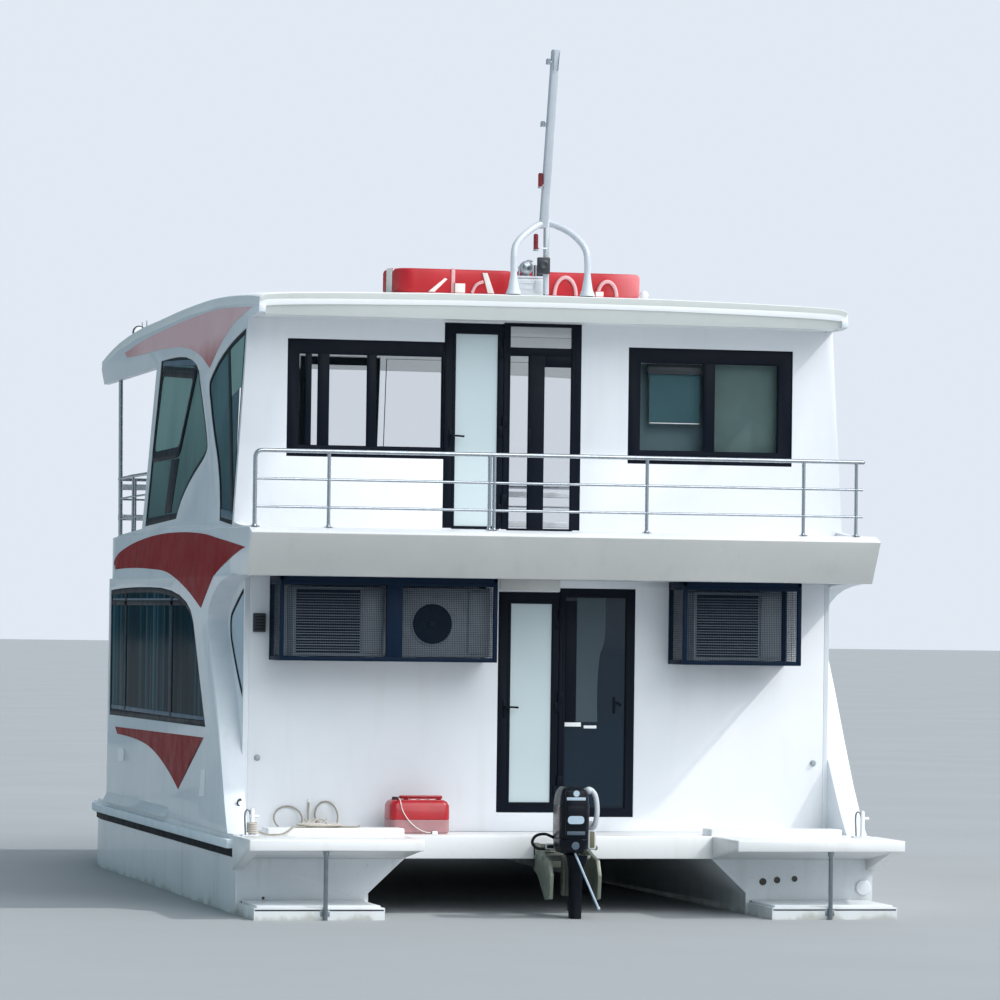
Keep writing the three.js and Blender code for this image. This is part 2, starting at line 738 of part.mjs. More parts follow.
// Upper front: a raked glazed screen between the side panels, with a hinged door
const UPPER_FRONT = { y: 5190, tilt: 0.12, bottom: UPPER_DECK_TOP + GAP, thick: 40 };
const UPPER_SCREEN_TOP = roofEdge(5000) - ROOF_SHEET - 3;
const UPPER_FRONT_DOOR = { x0: 500, x1: 1300, z0: 3460, z1: 5250 };
const UPPER_FRONT_HINGE_X = UPPER_FRONT_DOOR.x1 + CLEARANCE / 2;

function upperScreenPieces() {
  const z0 = UPPER_FRONT.bottom;
  const z1 = UPPER_SCREEN_TOP;
  const t = UPPER_FRONT.thick;
  const inside = (z) => leanHalf(z) - SIDE_PANEL_THICK - 3;
  const face = [
    [-inside(z0 - 40), z0 - 40],
    [inside(z0 - 40), z0 - 40],
    [inside(z1 + 40), z1 + 40],
    [-inside(z1 + 40), z1 + 40],
  ];
  const d = UPPER_FRONT_DOOR;
  const c = CLEARANCE;
  const panes = [
    rect(-2600, -1720, z0 + 80, z1 - 240),
    rect(-1650, -620, z0 + 80, z1 - 240),
    rect(-550, 425, z0 + 80, z1 - 240),
    rect(1370, 2600, z0 + 80, z1 - 240),
    rect(d.x0 - c, d.x1 + c, d.z0 - c, d.z1 + c),
  ];
  const frame = cut(plate("y", face, 0, t), ...panes.map((p) => plate("y", p, -20, t + 20)));
  const glass = panes.slice(0, 4).map((p) => plate("y", shrink(p, -20), t / 2 - 4, t / 2 + 4));
  return { frame, glass };
}

// Turned to face forward, then tilted back.
function faceForward(geometry) {
  const { y, tilt, bottom } = UPPER_FRONT;
  geometry.translate(0, 0, -bottom).rotateZ(Math.PI).rotateX(tilt);
  return geometry.translate(0, y, bottom);
}

function upperFrontScreen() {
  const { frame, glass } = upperScreenPieces();
  const d = UPPER_FRONT_DOOR;
  const hinges = knuckles(UPPER_FRONT_HINGE_X, d.z0, d.z1, false);
  const screen = faceForward(join(frame, ...glass, ...hinges));
  const height = box(-3000, 3000, 4500, 5500, UPPER_FRONT.bottom, UPPER_SCREEN_TOP);
  return toGeometry(toSolid(screen).intersect(toSolid(height)));
}

function upperFrontDoor() {
  const d = UPPER_FRONT_DOOR;
  return faceForward(
    join(
      ...glazedLeaf(d, 80, UPPER_FRONT.thick),
      ...lever(d.x0 + 55, 4300, 1),
      ...knuckles(UPPER_FRONT_HINGE_X, d.z0, d.z1, true),
    ),
  );
}
add("front_screen_upper", "black", upperFrontScreen());
add("front_door_upper", "black", upperFrontDoor());

// Roof: a sheet curved along and across, over the side panels. Aft it overhangs the wall, with a
// fascia that leans in towards its foot and a cheek at each side.
const FASCIA = { foot: CABIN_TOP + 3, lean: 70, thick: 50, cheek: 190 };

function roofSheet() {
  const half = leanHalf(5450);
  const across = CROWN_ROWS.map(([x]) => Math.min(x, half));
  const xs = [...across.slice(1).reverse(), ...across.map((x) => -x)];
  return loft(
    ROOF_ROWS.map(([y, z]) => [
      ...xs.map((x) => [x, y, Math.abs(x) === half ? z : roofTop(y, x)]),
      [-half, y, z - ROOF_SHEET],
      [half, y, z - ROOF_SHEET],
    ]),
  );
}

function roof() {
  const half = leanHalf(CABIN_TOP) - SIDE_PANEL_THICK - 12;
  const top = roofEdge(ROOF_AFT_Y) - 30;
  const { foot, lean: inward, thick, cheek } = FASCIA;
  const section = [
    [ROOF_AFT_Y, top],
    [ROOF_AFT_Y + inward, foot],
    [ROOF_AFT_Y + inward + thick, foot],
    [ROOF_AFT_Y + inward + thick, top],
  ];
  const cheekFrom = ROOF_AFT_Y + inward + 5;
  const cheeks = [-1, 1].map((side) => {
    const [a, b] = [side * (half - cheek), side * half].sort((p, q) => p - q);
    return box(a, b, cheekFrom, -GAP, foot, top);
  });
  return join(roofSheet(), plate("x", section, -half, half), ...cheeks);
}
add("roof", "gelcoat", roof());

// Air-conditioner cages under the upper deck's overhang, and the units in them
const CAGE = { depth: 520, bottom: 2235, top: UPPER_DECK_BOTTOM - GAP, bar: 38, skin: 14 };

function cage(x0, x1, posts) {
  const { depth, bottom, top, bar, skin } = CAGE;
  const outer = box(x0, x1, -depth, -GAP, bottom, top);
  const inside = box(x0 + skin, x1 - skin, -depth + skin, 100, bottom + skin, top - bar);
  const shell = cut(outer, inside);
  const stops = [x0, ...posts.flat(), x1];
  const windows = [];
  for (let i = 0; i < stops.length; i += 2) {
    windows.push(
      box(stops[i] + bar, stops[i + 1] - bar, -depth - 50, -depth + 50, bottom + bar, top - 2 * bar),
    );
  }
  return cut(shell, ...windows);
}
add("cage_port", "cage", cage(-2509, -526, [[-1513, -1470]]));
add("cage_starboard", "cage", cage(1200, 2314, []));

function coolerUnit(x0, x1) {
  const y1 = -110;
  const [z0, z1] = [CAGE.bottom + CAGE.skin + GAP, 2900];
  const body = box(x0, x1, y1 - 300, y1, z0, z1);
  const fanX = x0 + (x1 - x0) * 0.36;
  const fanZ = (z0 + z1) / 2;
  const recess = rod([fanX, y1 - 400, fanZ], [fanX, y1 - 240, fanZ], 230, 24);
  const hub = rod([fanX, y1 - 290, fanZ], [fanX, y1 - 200, fanZ], 60, 12);
  return join(cut(body, recess), hub);
}
add("cooler_outer", "gelcoat", coolerUnit(-2370, -1540));
add("cooler_inner", "gelcoat", coolerUnit(-1390, -570));
add("cooler_starboard", "gelcoat", coolerUnit(1330, 2160));

// Aft rail of the upper deck
const RAIL = { y: -930, top: 4085, mid: 3835, low: 3590, r: 19, thin: 12, post: 15 };
const RAIL_POSTS = [-2826, -2165, -712, -668, 735, 2195, 2690];

function aftRail() {
  const { y, top, mid, low, r, thin, post } = RAIL;
  const foot = UPPER_DECK_TOP + GAP;
  const [first, last] = [RAIL_POSTS[0], 2752];
  const pieces = [
    ...tube([[first, y, foot], [first, y, top - 40], [first + 40, y, top], [last, y, top]], r),
    rod([first, y, mid], [last, y, mid], thin, 6),
    rod([first, y, low], [last, y, low], thin, 6),
  ];
  for (const x of RAIL_POSTS.slice(1)) pieces.push(rod([x, y, foot], [x, y, top], post));
  return join(...pieces);
}
add("aft_rail", "steel", aftRail());

// Balcony rail round the front of the upper deck, with two boards and the roof's front pillars
const BALCONY = { top: 4040, boardHigh: 62, boards: [3930, 3610] };
const PILLAR = { x: 2700, y: 7560, r: 23 };

function balconyRail() {
  const foot = UPPER_DECK_TOP + GAP;
  const { top } = BALCONY;
  const { x: pillarX, y: pillarY } = PILLAR;
  const frontY = BALCONY_Y - 80;
  const sideX = (y) => halfWidth(y, UPPER_DECK_HALF, UPPER_ARC) - 125;
  const pieces = [];
  const half = (side) => [
    [side * sideX(5300), 5300, top],
    [side * sideX(6500), 6500, top],
    [side * pillarX, pillarY, top],
    [side * (pillarX - 20), frontY, top],
  ];
  const run = [...half(-1), ...half(1).reverse()];
  pieces.push(...tube(run, 17));
  for (const drop of [210, 420]) {
    pieces.push(...tube(run.map(([x, y, z]) => [x, y, z - drop]), 10, 6));
  }
  for (const side of [-1, 1]) {
    const panelUnder = alongRows(PANEL_UNDER, pillarY + PILLAR.r) - GAP;
    const topX = side * (leanHalf(panelUnder) - SIDE_PANEL_THICK / 2);
    pieces.push(rod([side * pillarX, pillarY, foot], [topX, pillarY, panelUnder], PILLAR.r, 12));
    for (const y of [5300, 6400]) {
      pieces.push(rod([side * sideX(y), y, foot], [side * sideX(y), y, top], 14));
    }
  }
  for (const x of [-2500, -1250, 0, 1250, 2500]) {
    pieces.push(rod([x, frontY, foot], [x, frontY, top], 14));
  }
  for (const z of BALCONY.boards) {
    pieces.push(box(20 - pillarX, pillarX - 20, frontY - 12, frontY + 12, z, z + BALCONY.boardHigh));
  }
  return join(...pieces);
}
add("balcony_rail", "steel", balconyRail());

// Bow rail on the lower deck
function bowRail() {
  const foot = DECK_TOP + GAP;
  const top = DECK_TOP + 740;
  const x = (y) => halfWidth(y, BEAM_HALF) - 120;
  const side = (s) => [
    [s * x(7200), 7200, top],
    [s * x(8200), 8200, top],
    [s * x(9100), 9100, top],
    [s * 1500, 9980, top],
  ];
  const pieces = [];
  const run = [...side(-1), ...side(1).reverse()];
  pieces.push(...tube(run, 17));
  pieces.push(...tube(run.map(([a, b, c]) => [a, b, c - 370]), 10, 6));
  for (const [a, b] of [...run, [0, 9980]]) pieces.push(rod([a, b, foot], [a, b, top], 14, 6));
  return join(...pieces);
}
add("bow_rail", "steel", bowRail());

// Mast: a wishbone on the roof that carries a flat blade, raked aft, with its lamps
const MAST = { kneeX: 10, kneeY: 100, kneeZ: 6256, topY: -290, topZ: 7790, legR: 30, postHalf: 20 };
// Each row: y, then x and z of the port leg and of the starboard leg
const LEG_BENDS = [
  [-160, -334, 5925, 354, 5882],
  [-130, -314, 6010, 346, 5984],
  [-80, -252, 6088, 301, 6073],
  [0, -140, 6175, 207, 6167],
  [66, -40, 6232, 99, 6226],
  [100, 10, 6256, 10, 6256],
];
// Each row: y, bottom and top of a lamp on the blade's port side, and how far it stands out
const LAMPS = [
  [-285, 7662, 7706, 92],
  [-118, 7112, 7154, 92],
  [-20, 6560, 6690, 84],
  [45, 5992, 6140, 104],
];

function mastLeg(bends) {
  const [x, y] = bends[0];
  const foot = roofTop(y + MAST.legR, Math.abs(x) - MAST.legR) + GAP;
  return tube([[x, y, foot], ...bends], MAST.legR);
}

function mast() {
  const { kneeX, kneeY, kneeZ, topY, topZ, postHalf } = MAST;
  const port = LEG_BENDS.map(([y, x, z]) => [x, y, z]);
  const starboard = LEG_BENDS.map(([y, , , x, z]) => [x, y, z]);
  const blade = [
    [kneeY - 45, kneeZ - 60],
    [kneeY + 45, kneeZ - 60],
    [topY + 45, topZ],
    [topY - 45, topZ],
  ];
  const [postX, foreY] = [kneeX + postHalf, kneeY + 45];
  const foot = roofTop(foreY) + GAP;
  const post = box(postX - postHalf, postX + postHalf, kneeY - 45, foreY, foot, kneeZ);
  const lamps = LAMPS.map(([y, z0, z1, out]) => box(-out, postX - 5, y - 20, y + 20, z0, z1));
  return join(
    ...mastLeg(port),
    ...mastLeg(starboard),
    ball([kneeX, kneeY, kneeZ], 42),
    plate("x", blade, -36, 36),
    post,
    ...lamps,
  );
}
add("mast", "gelcoat", mast());

// Searchlight on its white base beside the mast's foot
const LIGHT = { x0: -215, x1: 60, y: 330, half: 110, baseHigh: 150, z: 5850, r: 68 };

function searchlight() {
  const { x0, x1, y, half, baseHigh, z, r } = LIGHT;
  const [aft, fore] = [y - half, y + half];
  const seat = roofTop(fore);
  const side = [
    [aft, roofTop(aft) + GAP],
    [fore, seat + GAP],
    [fore, seat + baseHigh],
    [aft, seat + baseHigh],
  ];
  return join(
    plate("x", side, x0, x1),
    box(-130, -50, y - 35, y + 35, seat + baseHigh - 10, z),
    rod([-90, aft, z], [-90, fore, z], r, 14),
    box(-35, 58, y - 60, y + 60, seat + baseHigh - 10, z + 75),
  );
}
add("searchlight", "gelcoat", searchlight());

// Life floats: two buoyant rings side by side on the roof, laid along its slope
const FLOAT = { wide: 860, high: 228, tube: 190, y: 1050 };

function lifeFloat(long) {
  const { wide, high, tube: t } = FLOAT;
  const round = (a, b, r) => [
    [-a + r, -b],
    [a - r, -b],
    [a, -b, a, -b + r],
    [a, b - r],
    [a, b, a - r, b],
    [-a + r, b],
    [-a, b, -a, b - r],
    [-a, -b + r],
    [-a, -b, -a + r, -b],
  ];
  const outer = round(long / 2, wide / 2, 160);
  const inner = round(long / 2 - t, wide / 2 - t, 60);
  return plate("z", outer, 0, high, [inner]);
}

// The roof's slope under a rigid piece from y0 to y1, and the height of the piece's underside midway.
function roofSeat(y0, y1, x) {
  const rise = (roofTop(y1, x) - roofTop(y0, x)) / (y1 - y0);
  const crowns = ROOF_ROWS.filter(([y]) => y > y0 && y < y1);
  const lift = Math.max(0, ...crowns.map(([y]) => roofTop(y, x) - roofTop(y0, x) - rise * (y - y0)));
  return { slope: Math.atan(rise), z: (roofTop(y0, x) + roofTop(y1, x)) / 2 + lift + GAP };
}

const FLOATS = [
  // name, x of the middle, length
  ["life_float_port", -680, 1100],
  ["life_float_starboard", 485, 1200],
];
for (const [name, x, long] of FLOATS) {
  const nearest = Math.max(0, Math.abs(x) - long / 2); // the roof is highest there
  const seat = roofSeat(FLOAT.y - FLOAT.wide / 2, FLOAT.y + FLOAT.wide / 2, nearest);
  const mesh = add(name, "red", lifeFloat(long));
  mesh.rotation.x = seat.slope;
  mesh.position.set(x, FLOAT.y, seat.z);
}

// Outboard: a clamp bracket, a swivel that tilts in it, the motor that steers, and its propeller
const CLAMP = { in: 200, out: 235, y0: TRANSOM_Y - GAP };

function clampBracket() {
  const side = [
    [CLAMP.y0, 640],
    [CLAMP.y0, 400],
    [-950, 355],
    [-1230, 155],
    [-1400, 170],
    [-1425, 380],
    [-1350, 512],
    [-1160, 548],
    [-960, 600],
    [-900, 640],
  ];
  const cheeks = [-1, 1].map((s) => {
    const [a, b] = [s * CLAMP.in, s * CLAMP.out].sort((p, q) => p - q);
    return plate("x", side, a, b);
  });
  const pad = box(-CLAMP.out, CLAMP.out, CLAMP.y0 - 55, CLAMP.y0, 420, 630);
  return join(...cheeks, pad);
}
add("outboard_clamp", "bracket", clampBracket());

const STEER_Y = OUTBOARD_Y - 75;
const POST = { r: 58, low: OUTBOARD_Z - 330, top: OUTBOARD_Z + 32, tiltR: 26 };

function swivel() {
  const inner = CLAMP.in - GAP;
  return join(
    rod([-inner, OUTBOARD_Y, OUTBOARD_Z], [inner, OUTBOARD_Y, OUTBOARD_Z], POST.tiltR, 14),
    box(-70, 70, STEER_Y - 5, OUTBOARD_Y + 10, POST.low, OUTBOARD_Z + 20),
    rod([0, STEER_Y, POST.low], [0, STEER_Y, POST.top], POST.r, 16),
  );
}
add("outboard_swivel", "bracket", swivel());

const COWL = { bottom: 580, top: 1165, half: 175, front: -1140, aft: -1640 };
const PROP = { z: -300, y: -1540, r: 165 };

function cowlSections() {
  // Each row: z, share of the half width, front y, aft y
  const rows = [
    [COWL.bottom, 0.72, -1175, -1560],
    [COWL.bottom + 90, 1, COWL.front - 10, -1625],
    [COWL.bottom + 330, 1, COWL.front - 25, COWL.aft],
    [COWL.top - 90, 0.94, COWL.front - 60, -1630],
    [COWL.top, 0.7, COWL.front - 130, -1560],
  ];
  return rows.map(([z, share, front, aft]) => {
    const w = COWL.half * share;
    return [
      [w * 0.55, front, z],
      [w, front - 90, z],
      [w, aft + 120, z],
      [w * 0.6, aft, z],
      [-w * 0.6, aft, z],
      [-w, aft + 120, z],
      [-w, front - 90, z],
      [-w * 0.55, front, z],
    ];
  });
}

function motor() {
  const leg = (z0, z1, y0, y1, half) => box(-half, half, y1, y0, z0, z1);
  const sections = cowlSections();
  const aftOfPost = STEER_Y - POST.r - CLEARANCE;
  const neck = box(-60, 60, STEER_Y - 50, STEER_Y + 50, POST.top + GAP, COWL.bottom + 20);
  return join(
    loft(sections),
    neck,
    leg(OUTBOARD_Z + 40, COWL.bottom + 20, aftOfPost, -1540, 95),
    leg(-60, OUTBOARD_Z + 60, aftOfPost, -1470, 60),
    leg(-75, -45, -1180, -1640, 95),
    leg(-240, -60, -1330, -1480, 26),
    rod([0, -1190, PROP.z], [0, PROP.y + 45, PROP.z], 48, 14),
    leg(-300, -180, -1290, -1490, 30),
    plate("x", [[-1280, -300], [-1480, -300], [-1420, -500], [-1340, -500]], -8, 8),
  );
}
add("outboard_motor", "motor", motor());

function propeller() {
  const hub = rod([0, PROP.y - 70, PROP.z], [0, PROP.y + 45 - GAP, PROP.z], 42, 14);
  const blades = [0, 1, 2].map((i) => {
    const blade = new THREE.BoxGeometry(105, 10, PROP.r - 20);
    blade.rotateZ(0.55).translate(0, 0, (PROP.r - 20) / 2 + 20);
    return blade.rotateY((i * 2 * Math.PI) / 3).translate(0, PROP.y - 15, PROP.z);
  });
  return join(hub, ...blades);
}
add("propeller", "motor", propeller());

// Fuel tank on the deck beside the motor, with the connector that its line leaves from
const TANK = { x0: -1475, x1: -925, y0: -475, y1: -165, high: 285 };
const CONNECTOR = { x: -1390, y: -415, z: 1011, half: 12 };

function connector() {
  const { x, y, z, half } = CONNECTOR;
  return box(x - half, x + half, y, y + 30, z - 10, z + half);
}

function fuelTank() {
  const { x0, x1, y0, y1 } = TANK;
  const shoulder = DECK_TOP + TANK.high;
  return join(
    box(x0, x1, y0, y1, DECK_TOP + GAP, shoulder),
    box(x0 + 25, x1 - 25, y0 + 25, y1 - 25, shoulder - 10, shoulder + 20),
    box(x0 + 150, x1 - 60, y0 + 120, y0 + 160, shoulder + 10, shoulder + 47),
    rod([x0 + 75, y0 + 140, shoulder + 15], [x0 + 75, y0 + 140, shoulder + 41], 34, 12),
    connector(),
  );
}
add("fuel_tank", "red", fuelTank());

// Bollards on the swim platforms: a post with a cross bar, and a bent bar to port of it
const BOLLARD = { y: -960, postR: 20, high: 240, barZ: 170, barHalf: 62, hoopX: -58, hoopHigh: 215 };

function bollard() {
  const { postR, high, barZ, barHalf, hoopX, hoopHigh } = BOLLARD;
  const hoop = [
    [hoopX, 0, 4],
    [hoopX, 0, hoopHigh],
    [hoopX + 22, 0, hoopHigh + 14],
    [hoopX + 40, 0, hoopHigh - 10],
    [-postR + 8, 0, hoopHigh - 60],
  ];
  return join(
    box(-95, 55, -50, 50, 0, 8),
    rod([0, 0, 4], [0, 0, high], postR, 12),
    rod([-barHalf * 0.4, 0, barZ], [barHalf, 0, barZ], 13),
    ...tube(hoop, 8),
  );
}
for (const [name, x] of [["bollard_port", -2815], ["bollard_starboard", 2775]]) {
  add(name, "gelcoat", bollard()).position.set(x, BOLLARD.y, DECK_TOP + GAP);
}

// Free cords: a round tube along a smooth line
function cord(points, radius, steps) {
  const line = new THREE.CatmullRomCurve3(points.map((p) => new THREE.Vector3(...p)));
  const section = new THREE.Shape(new THREE.Path().absarc(0, 0, radius, 0, 2 * Math.PI).getPoints(4));
  return join(new THREE.ExtrudeGeometry(section, { steps, extrudePath: line, bevelEnabled: false }));
}

// The mooring line runs from the port bollard over the hatch, stands in two loops against the
// stern wall, and its end leans there between them.
const LINE = { r: 8, steps: 80 };
const ON_DECK = DECK_TOP + GAP + LINE.r;
const ON_HATCH = ON_DECK + HATCH.high;
const LOOP = { startY: -98, endY: -130, lean: 105, clear: 3, points: 11 };

// A loop from the deck round and back to it, running to port at its foot
function loopOnWall(x, half, high) {
  const points = [];
  for (let i = 0; i <= LOOP.points; i++) {
    const part = i / LOOP.points;
    const angle = 2 * Math.PI * part;
    const rise = (1 - Math.cos(angle)) / 2;
    points.push([
      x - half * Math.sin(angle),
      LOOP.startY + (LOOP.endY - LOOP.startY) * part + LOOP.lean * rise,
      ON_DECK + LOOP.clear + high * rise,
    ]);
  }
  return points;
}

const MOORING_ROUTE = [
  [-2752, -952, 735],
  [-2715, -945, 724],
  [-2665, -928, 711],
  [-2600, -905, ON_DECK + 0.5],
  [-2530, -872, 713],
  [-2470, -838, 738],
  [-2415, -792, ON_HATCH + 4],
  [-2360, -738, ON_HATCH + 0.5],
  [-2270, -680, ON_HATCH],
  [-2160, -650, ON_HATCH],
  [-2050, -645, ON_HATCH],
  [-1940, -655, ON_HATCH],
  [-1850, -640, ON_HATCH],
  [-1790, -580, ON_HATCH],
  [-1765, -525, ON_HATCH + 1],
  [-1758, -475, ON_HATCH + 2.5],
  [-1755, -435, 755],
  [-1752, -390, 733],
  [-1755, -320, 712],
  [-1765, -250, ON_DECK + 0.5],
  [-1790, -180, ON_DECK],
  [-1850, -125, ON_DECK + 1],
  ...loopOnWall(-1975, 102, 255),
  [-2060, -134, ON_DECK + 1],
  [-2150, -118, ON_DECK + 1],
  ...loopOnWall(-2325, 127, 210),
  [-2405, -150, ON_DECK + 1],
  [-2445, -190, ON_DECK],
  [-2425, -240, ON_DECK],
  [-2350, -262, ON_DECK],
  [-2260, -250, ON_DECK],
  [-2185, -215, ON_DECK],
  [-2150, -168, 714],
  [-2143, -122, 742],
  [-2142, -78, 800],
  [-2138, -45, 870],
  [-2130, -22, 930],
  [-2127, -9, 985],
];
add("mooring_line", "gelcoat", cord(MOORING_ROUTE, LINE.r, LINE.steps));

// The fuel line runs from the tank's connector down its aft side to the gland on the deck.
const FUEL_LINE = { r: 4, steps: 26 };
const BEHIND_TANK = TANK.y0 - FUEL_LINE.r - 0.7;
const FUEL_ROUTE = [
  [CONNECTOR.x, CONNECTOR.y - GAP, CONNECTOR.z],
  [CONNECTOR.x, CONNECTOR.y - 30, CONNECTOR.z],
  [CONNECTOR.x + 2, TANK.y0 - 8, 997],
  [CONNECTOR.x + 8, TANK.y0 - 16, 965],
  [CONNECTOR.x + 22, BEHIND_TANK - 1, 918],
  [-1340, BEHIND_TANK, 865],
  [-1300, BEHIND_TANK - 0.5, 812],
  [-1250, BEHIND_TANK - 2, 765],
  [-1195, BEHIND_TANK - 9, 731],
  [-1150, GLAND.y + 4, 715],
  [-1120, GLAND.y, 712.5],
  [GLAND.x0 - GAP, GLAND.y, 712.5],
];
add("fuel_line", "gelcoat", cord(FUEL_ROUTE, FUEL_LINE.r, FUEL_LINE.steps));

export default group;
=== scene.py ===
"""Finishes, fittings, camera and light of a two-deck, twin-hull houseboat.

Metres. +Y is forward, +X is starboard, +Z is up, and the water's surface is z = 0.
"""

import json
import math

import bmesh
import bpy
from mathutils import Matrix, Vector
from mathutils.bvhtree import BVHTree
from mathutils.geometry import intersect_point_line

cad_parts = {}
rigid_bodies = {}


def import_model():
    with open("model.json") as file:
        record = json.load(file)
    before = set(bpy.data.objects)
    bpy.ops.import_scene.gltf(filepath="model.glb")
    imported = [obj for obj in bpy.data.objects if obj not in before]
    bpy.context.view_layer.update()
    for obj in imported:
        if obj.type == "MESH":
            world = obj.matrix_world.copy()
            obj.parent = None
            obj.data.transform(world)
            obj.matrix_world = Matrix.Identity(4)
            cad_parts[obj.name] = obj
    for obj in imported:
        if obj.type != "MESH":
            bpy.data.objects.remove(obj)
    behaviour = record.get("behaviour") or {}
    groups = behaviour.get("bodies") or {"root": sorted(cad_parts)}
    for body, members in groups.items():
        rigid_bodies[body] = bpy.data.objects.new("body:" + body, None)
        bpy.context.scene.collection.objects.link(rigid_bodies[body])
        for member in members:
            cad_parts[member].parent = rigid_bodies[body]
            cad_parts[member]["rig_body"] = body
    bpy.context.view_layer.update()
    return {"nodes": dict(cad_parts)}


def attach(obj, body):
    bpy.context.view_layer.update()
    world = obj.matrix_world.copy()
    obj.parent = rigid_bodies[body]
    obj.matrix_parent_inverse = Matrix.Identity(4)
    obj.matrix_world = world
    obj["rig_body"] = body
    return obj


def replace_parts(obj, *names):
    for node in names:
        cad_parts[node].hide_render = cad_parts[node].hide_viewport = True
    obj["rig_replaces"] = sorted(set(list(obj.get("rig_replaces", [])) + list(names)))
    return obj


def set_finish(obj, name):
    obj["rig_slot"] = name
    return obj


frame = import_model()
NODES = frame["nodes"]
BOAT = "boat"
SIDES = (("port", -1), ("starboard", 1))

# Driving sizes of the hulls, decks and cabins
BEAM_HALF = 2.925
WALL_HALF = 2.735
DECK_TOP = 0.700
TRANSOM = -0.800
PLATFORM_AFT = -1.650
STRUT_X, STRUT_Y, STRUT_R = 2.280, -1.6203, 0.020
STEP = {"x0": 1.750, "x1": 2.905, "aft": -1.600, "top": 0.105}
SLAB_LOW = 2.987
SLAB_TOP = 3.415
SLAB_HALF = 2.880
SLAB_ARC = (6.500, 5.460)  # where the slab's sides start to round in, and their radius
SHELL_LAP = 0.0015  # how far a fairing laps over a shell
FILM = 0.0015  # thickness of a film
CABIN_TOP = 5.310
UPPER_HALF = 2.845  # upper side panels at LEAN_FROM
LEAN_FROM = 3.465
LEAN = 0.0593
ROOF_AFT, ROOF_FRONT = -0.500, 8.800
ROOF_SHEET = 0.066
FRAME_GAP = 0.0005
REST = 0.0003  # how far a fitting stays off the face that carries it

# Driving sizes of the gear
KNUCKLE = {"radius": 0.009, "long": 0.090, "reach": 0.040, "y": -0.010}
LOWER_HINGE = (0.173, 0.878, 2.872)  # x, low and high z of a stern door's hinge line
UPPER_HINGE = (-0.379, 3.446, 5.306)
CAGE_Y, CAGE_LOW = -0.520, 2.235
KNEE, MAST_TOP = (0.010, 0.100, 6.256), (0.0, -0.290, 7.790)
COWL_SHIFT, COWL_SHARE = -0.060, 0.80  # the cowl lies to port of the handle, and is this much narrower
COWL_FACE = -1.6475  # the cowl's aft face
PROPELLER = (0.0, -1.540, -0.300)
TANK = {"x0": -1.475, "x1": -0.925, "y0": -0.475, "y1": -0.165}
HOOK = (-2.800, -0.267, 0.985)
ON_DECK, ON_HATCH = 0.7083, 0.7683  # heights of a line's middle on the deck and on a hatch
MOORING = {"diameter": 0.016, "length": 4.44}
LAY, ROPE_STEP = 0.052, 0.0035  # a laid rope's turn, and how close its points are
FUEL_HOSE = {"diameter": 0.008, "length": 0.515}


# Camera, light and floor

HEADING, PITCH, ROLL = (math.radians(a) for a in (13.2, 1.36, 0.75))
CAMERA_AT = Vector((-10.552, -43.297, 2.651))
SENSOR, LENS, FARTHEST = 36.0, 176.4, 2000.0


def aim_camera():
    """A camera at the photograph's place, turned by its heading, pitch and roll."""
    forward = Vector((math.sin(HEADING) * math.cos(PITCH), math.cos(HEADING) * math.cos(PITCH),
                      math.sin(PITCH)))
    right = Vector((math.cos(HEADING), -math.sin(HEADING), 0))
    up = right.cross(forward)
    across = right * math.cos(ROLL) + up * math.sin(ROLL)
    upward = up * math.cos(ROLL) - right * math.sin(ROLL)
    data = bpy.data.cameras.new("camera")
    data.sensor_width = SENSOR
    data.lens = LENS
    data.clip_end = FARTHEST
    camera = bpy.data.objects.new("camera", data)
    turn = Matrix((across, upward, -forward)).transposed().to_4x4()
    camera.matrix_world = Matrix.Translation(CAMERA_AT) @ turn
    bpy.context.scene.collection.objects.link(camera)
    bpy.context.scene.camera = camera


def sun(name, direction, strength, spread, color):
    data = bpy.data.lights.new(name, "SUN")
    data.energy = strength
    data.angle = math.radians(spread)
    data.color = color
    lamp = bpy.data.objects.new(name, data)
    lamp.rotation_euler = Vector(direction).to_track_quat("Z", "Y").to_euler()
    bpy.context.scene.collection.objects.link(lamp)


# Each sun: its name, where it stands, strength, spread in degrees and colour
SUNS = [("sun", (0.90, -0.38, 1.0), 1.9, 2.0, (1.0, 0.98, 0.95)),
        ("softbox", (0.35, -1.0, 0.85), 1.55, 50.0, (0.96, 0.98, 1.0))]
# How far to starboard a direction points, and the air's colour there
PORT_AIR, DIM_AIR, OPEN_AIR = (0.42, 0.55, 0.64), (0.08, 0.14, 0.17), (0.76, 0.82, 0.91)
AIR = [(-1.0, PORT_AIR), (-0.62, PORT_AIR), (-0.42, DIM_AIR), (-0.10, DIM_AIR), (0.10, OPEN_AIR),
       (1.0, OPEN_AIR)]


def light_scene():
    """Sun from high on the starboard quarter, a wide soft light from astern, dim air to port."""
    for row in SUNS:
        sun(*row)
    world = bpy.data.worlds.new("studio")
    world.use_nodes = True
    nodes, links = world.node_tree.nodes, world.node_tree.links
    apart = nodes.new("ShaderNodeSeparateXYZ")
    links.new(nodes.new("ShaderNodeTexCoord").outputs["Generated"], apart.inputs["Vector"])
    place = nodes.new("ShaderNodeMapRange")
    place.inputs["From Min"].default_value = -1.0
    links.new(apart.outputs["X"], place.inputs["Value"])
    ramp = nodes.new("ShaderNodeValToRGB")
    links.new(place.outputs["Result"], ramp.inputs["Fac"])
    stops = ramp.color_ramp.elements
    for row in AIR[1:-1]:
        stops.new((row[0] + 1) / 2)
    for stop, row in zip(stops, AIR):
        stop.color = (*row[1], 1)
    links.new(ramp.outputs["Color"], nodes["Background"].inputs["Color"])
    bpy.context.scene.world = world
    bpy.context.scene.view_settings.view_transform = "Standard"


# Simple forms, gathered in one mesh for each piece

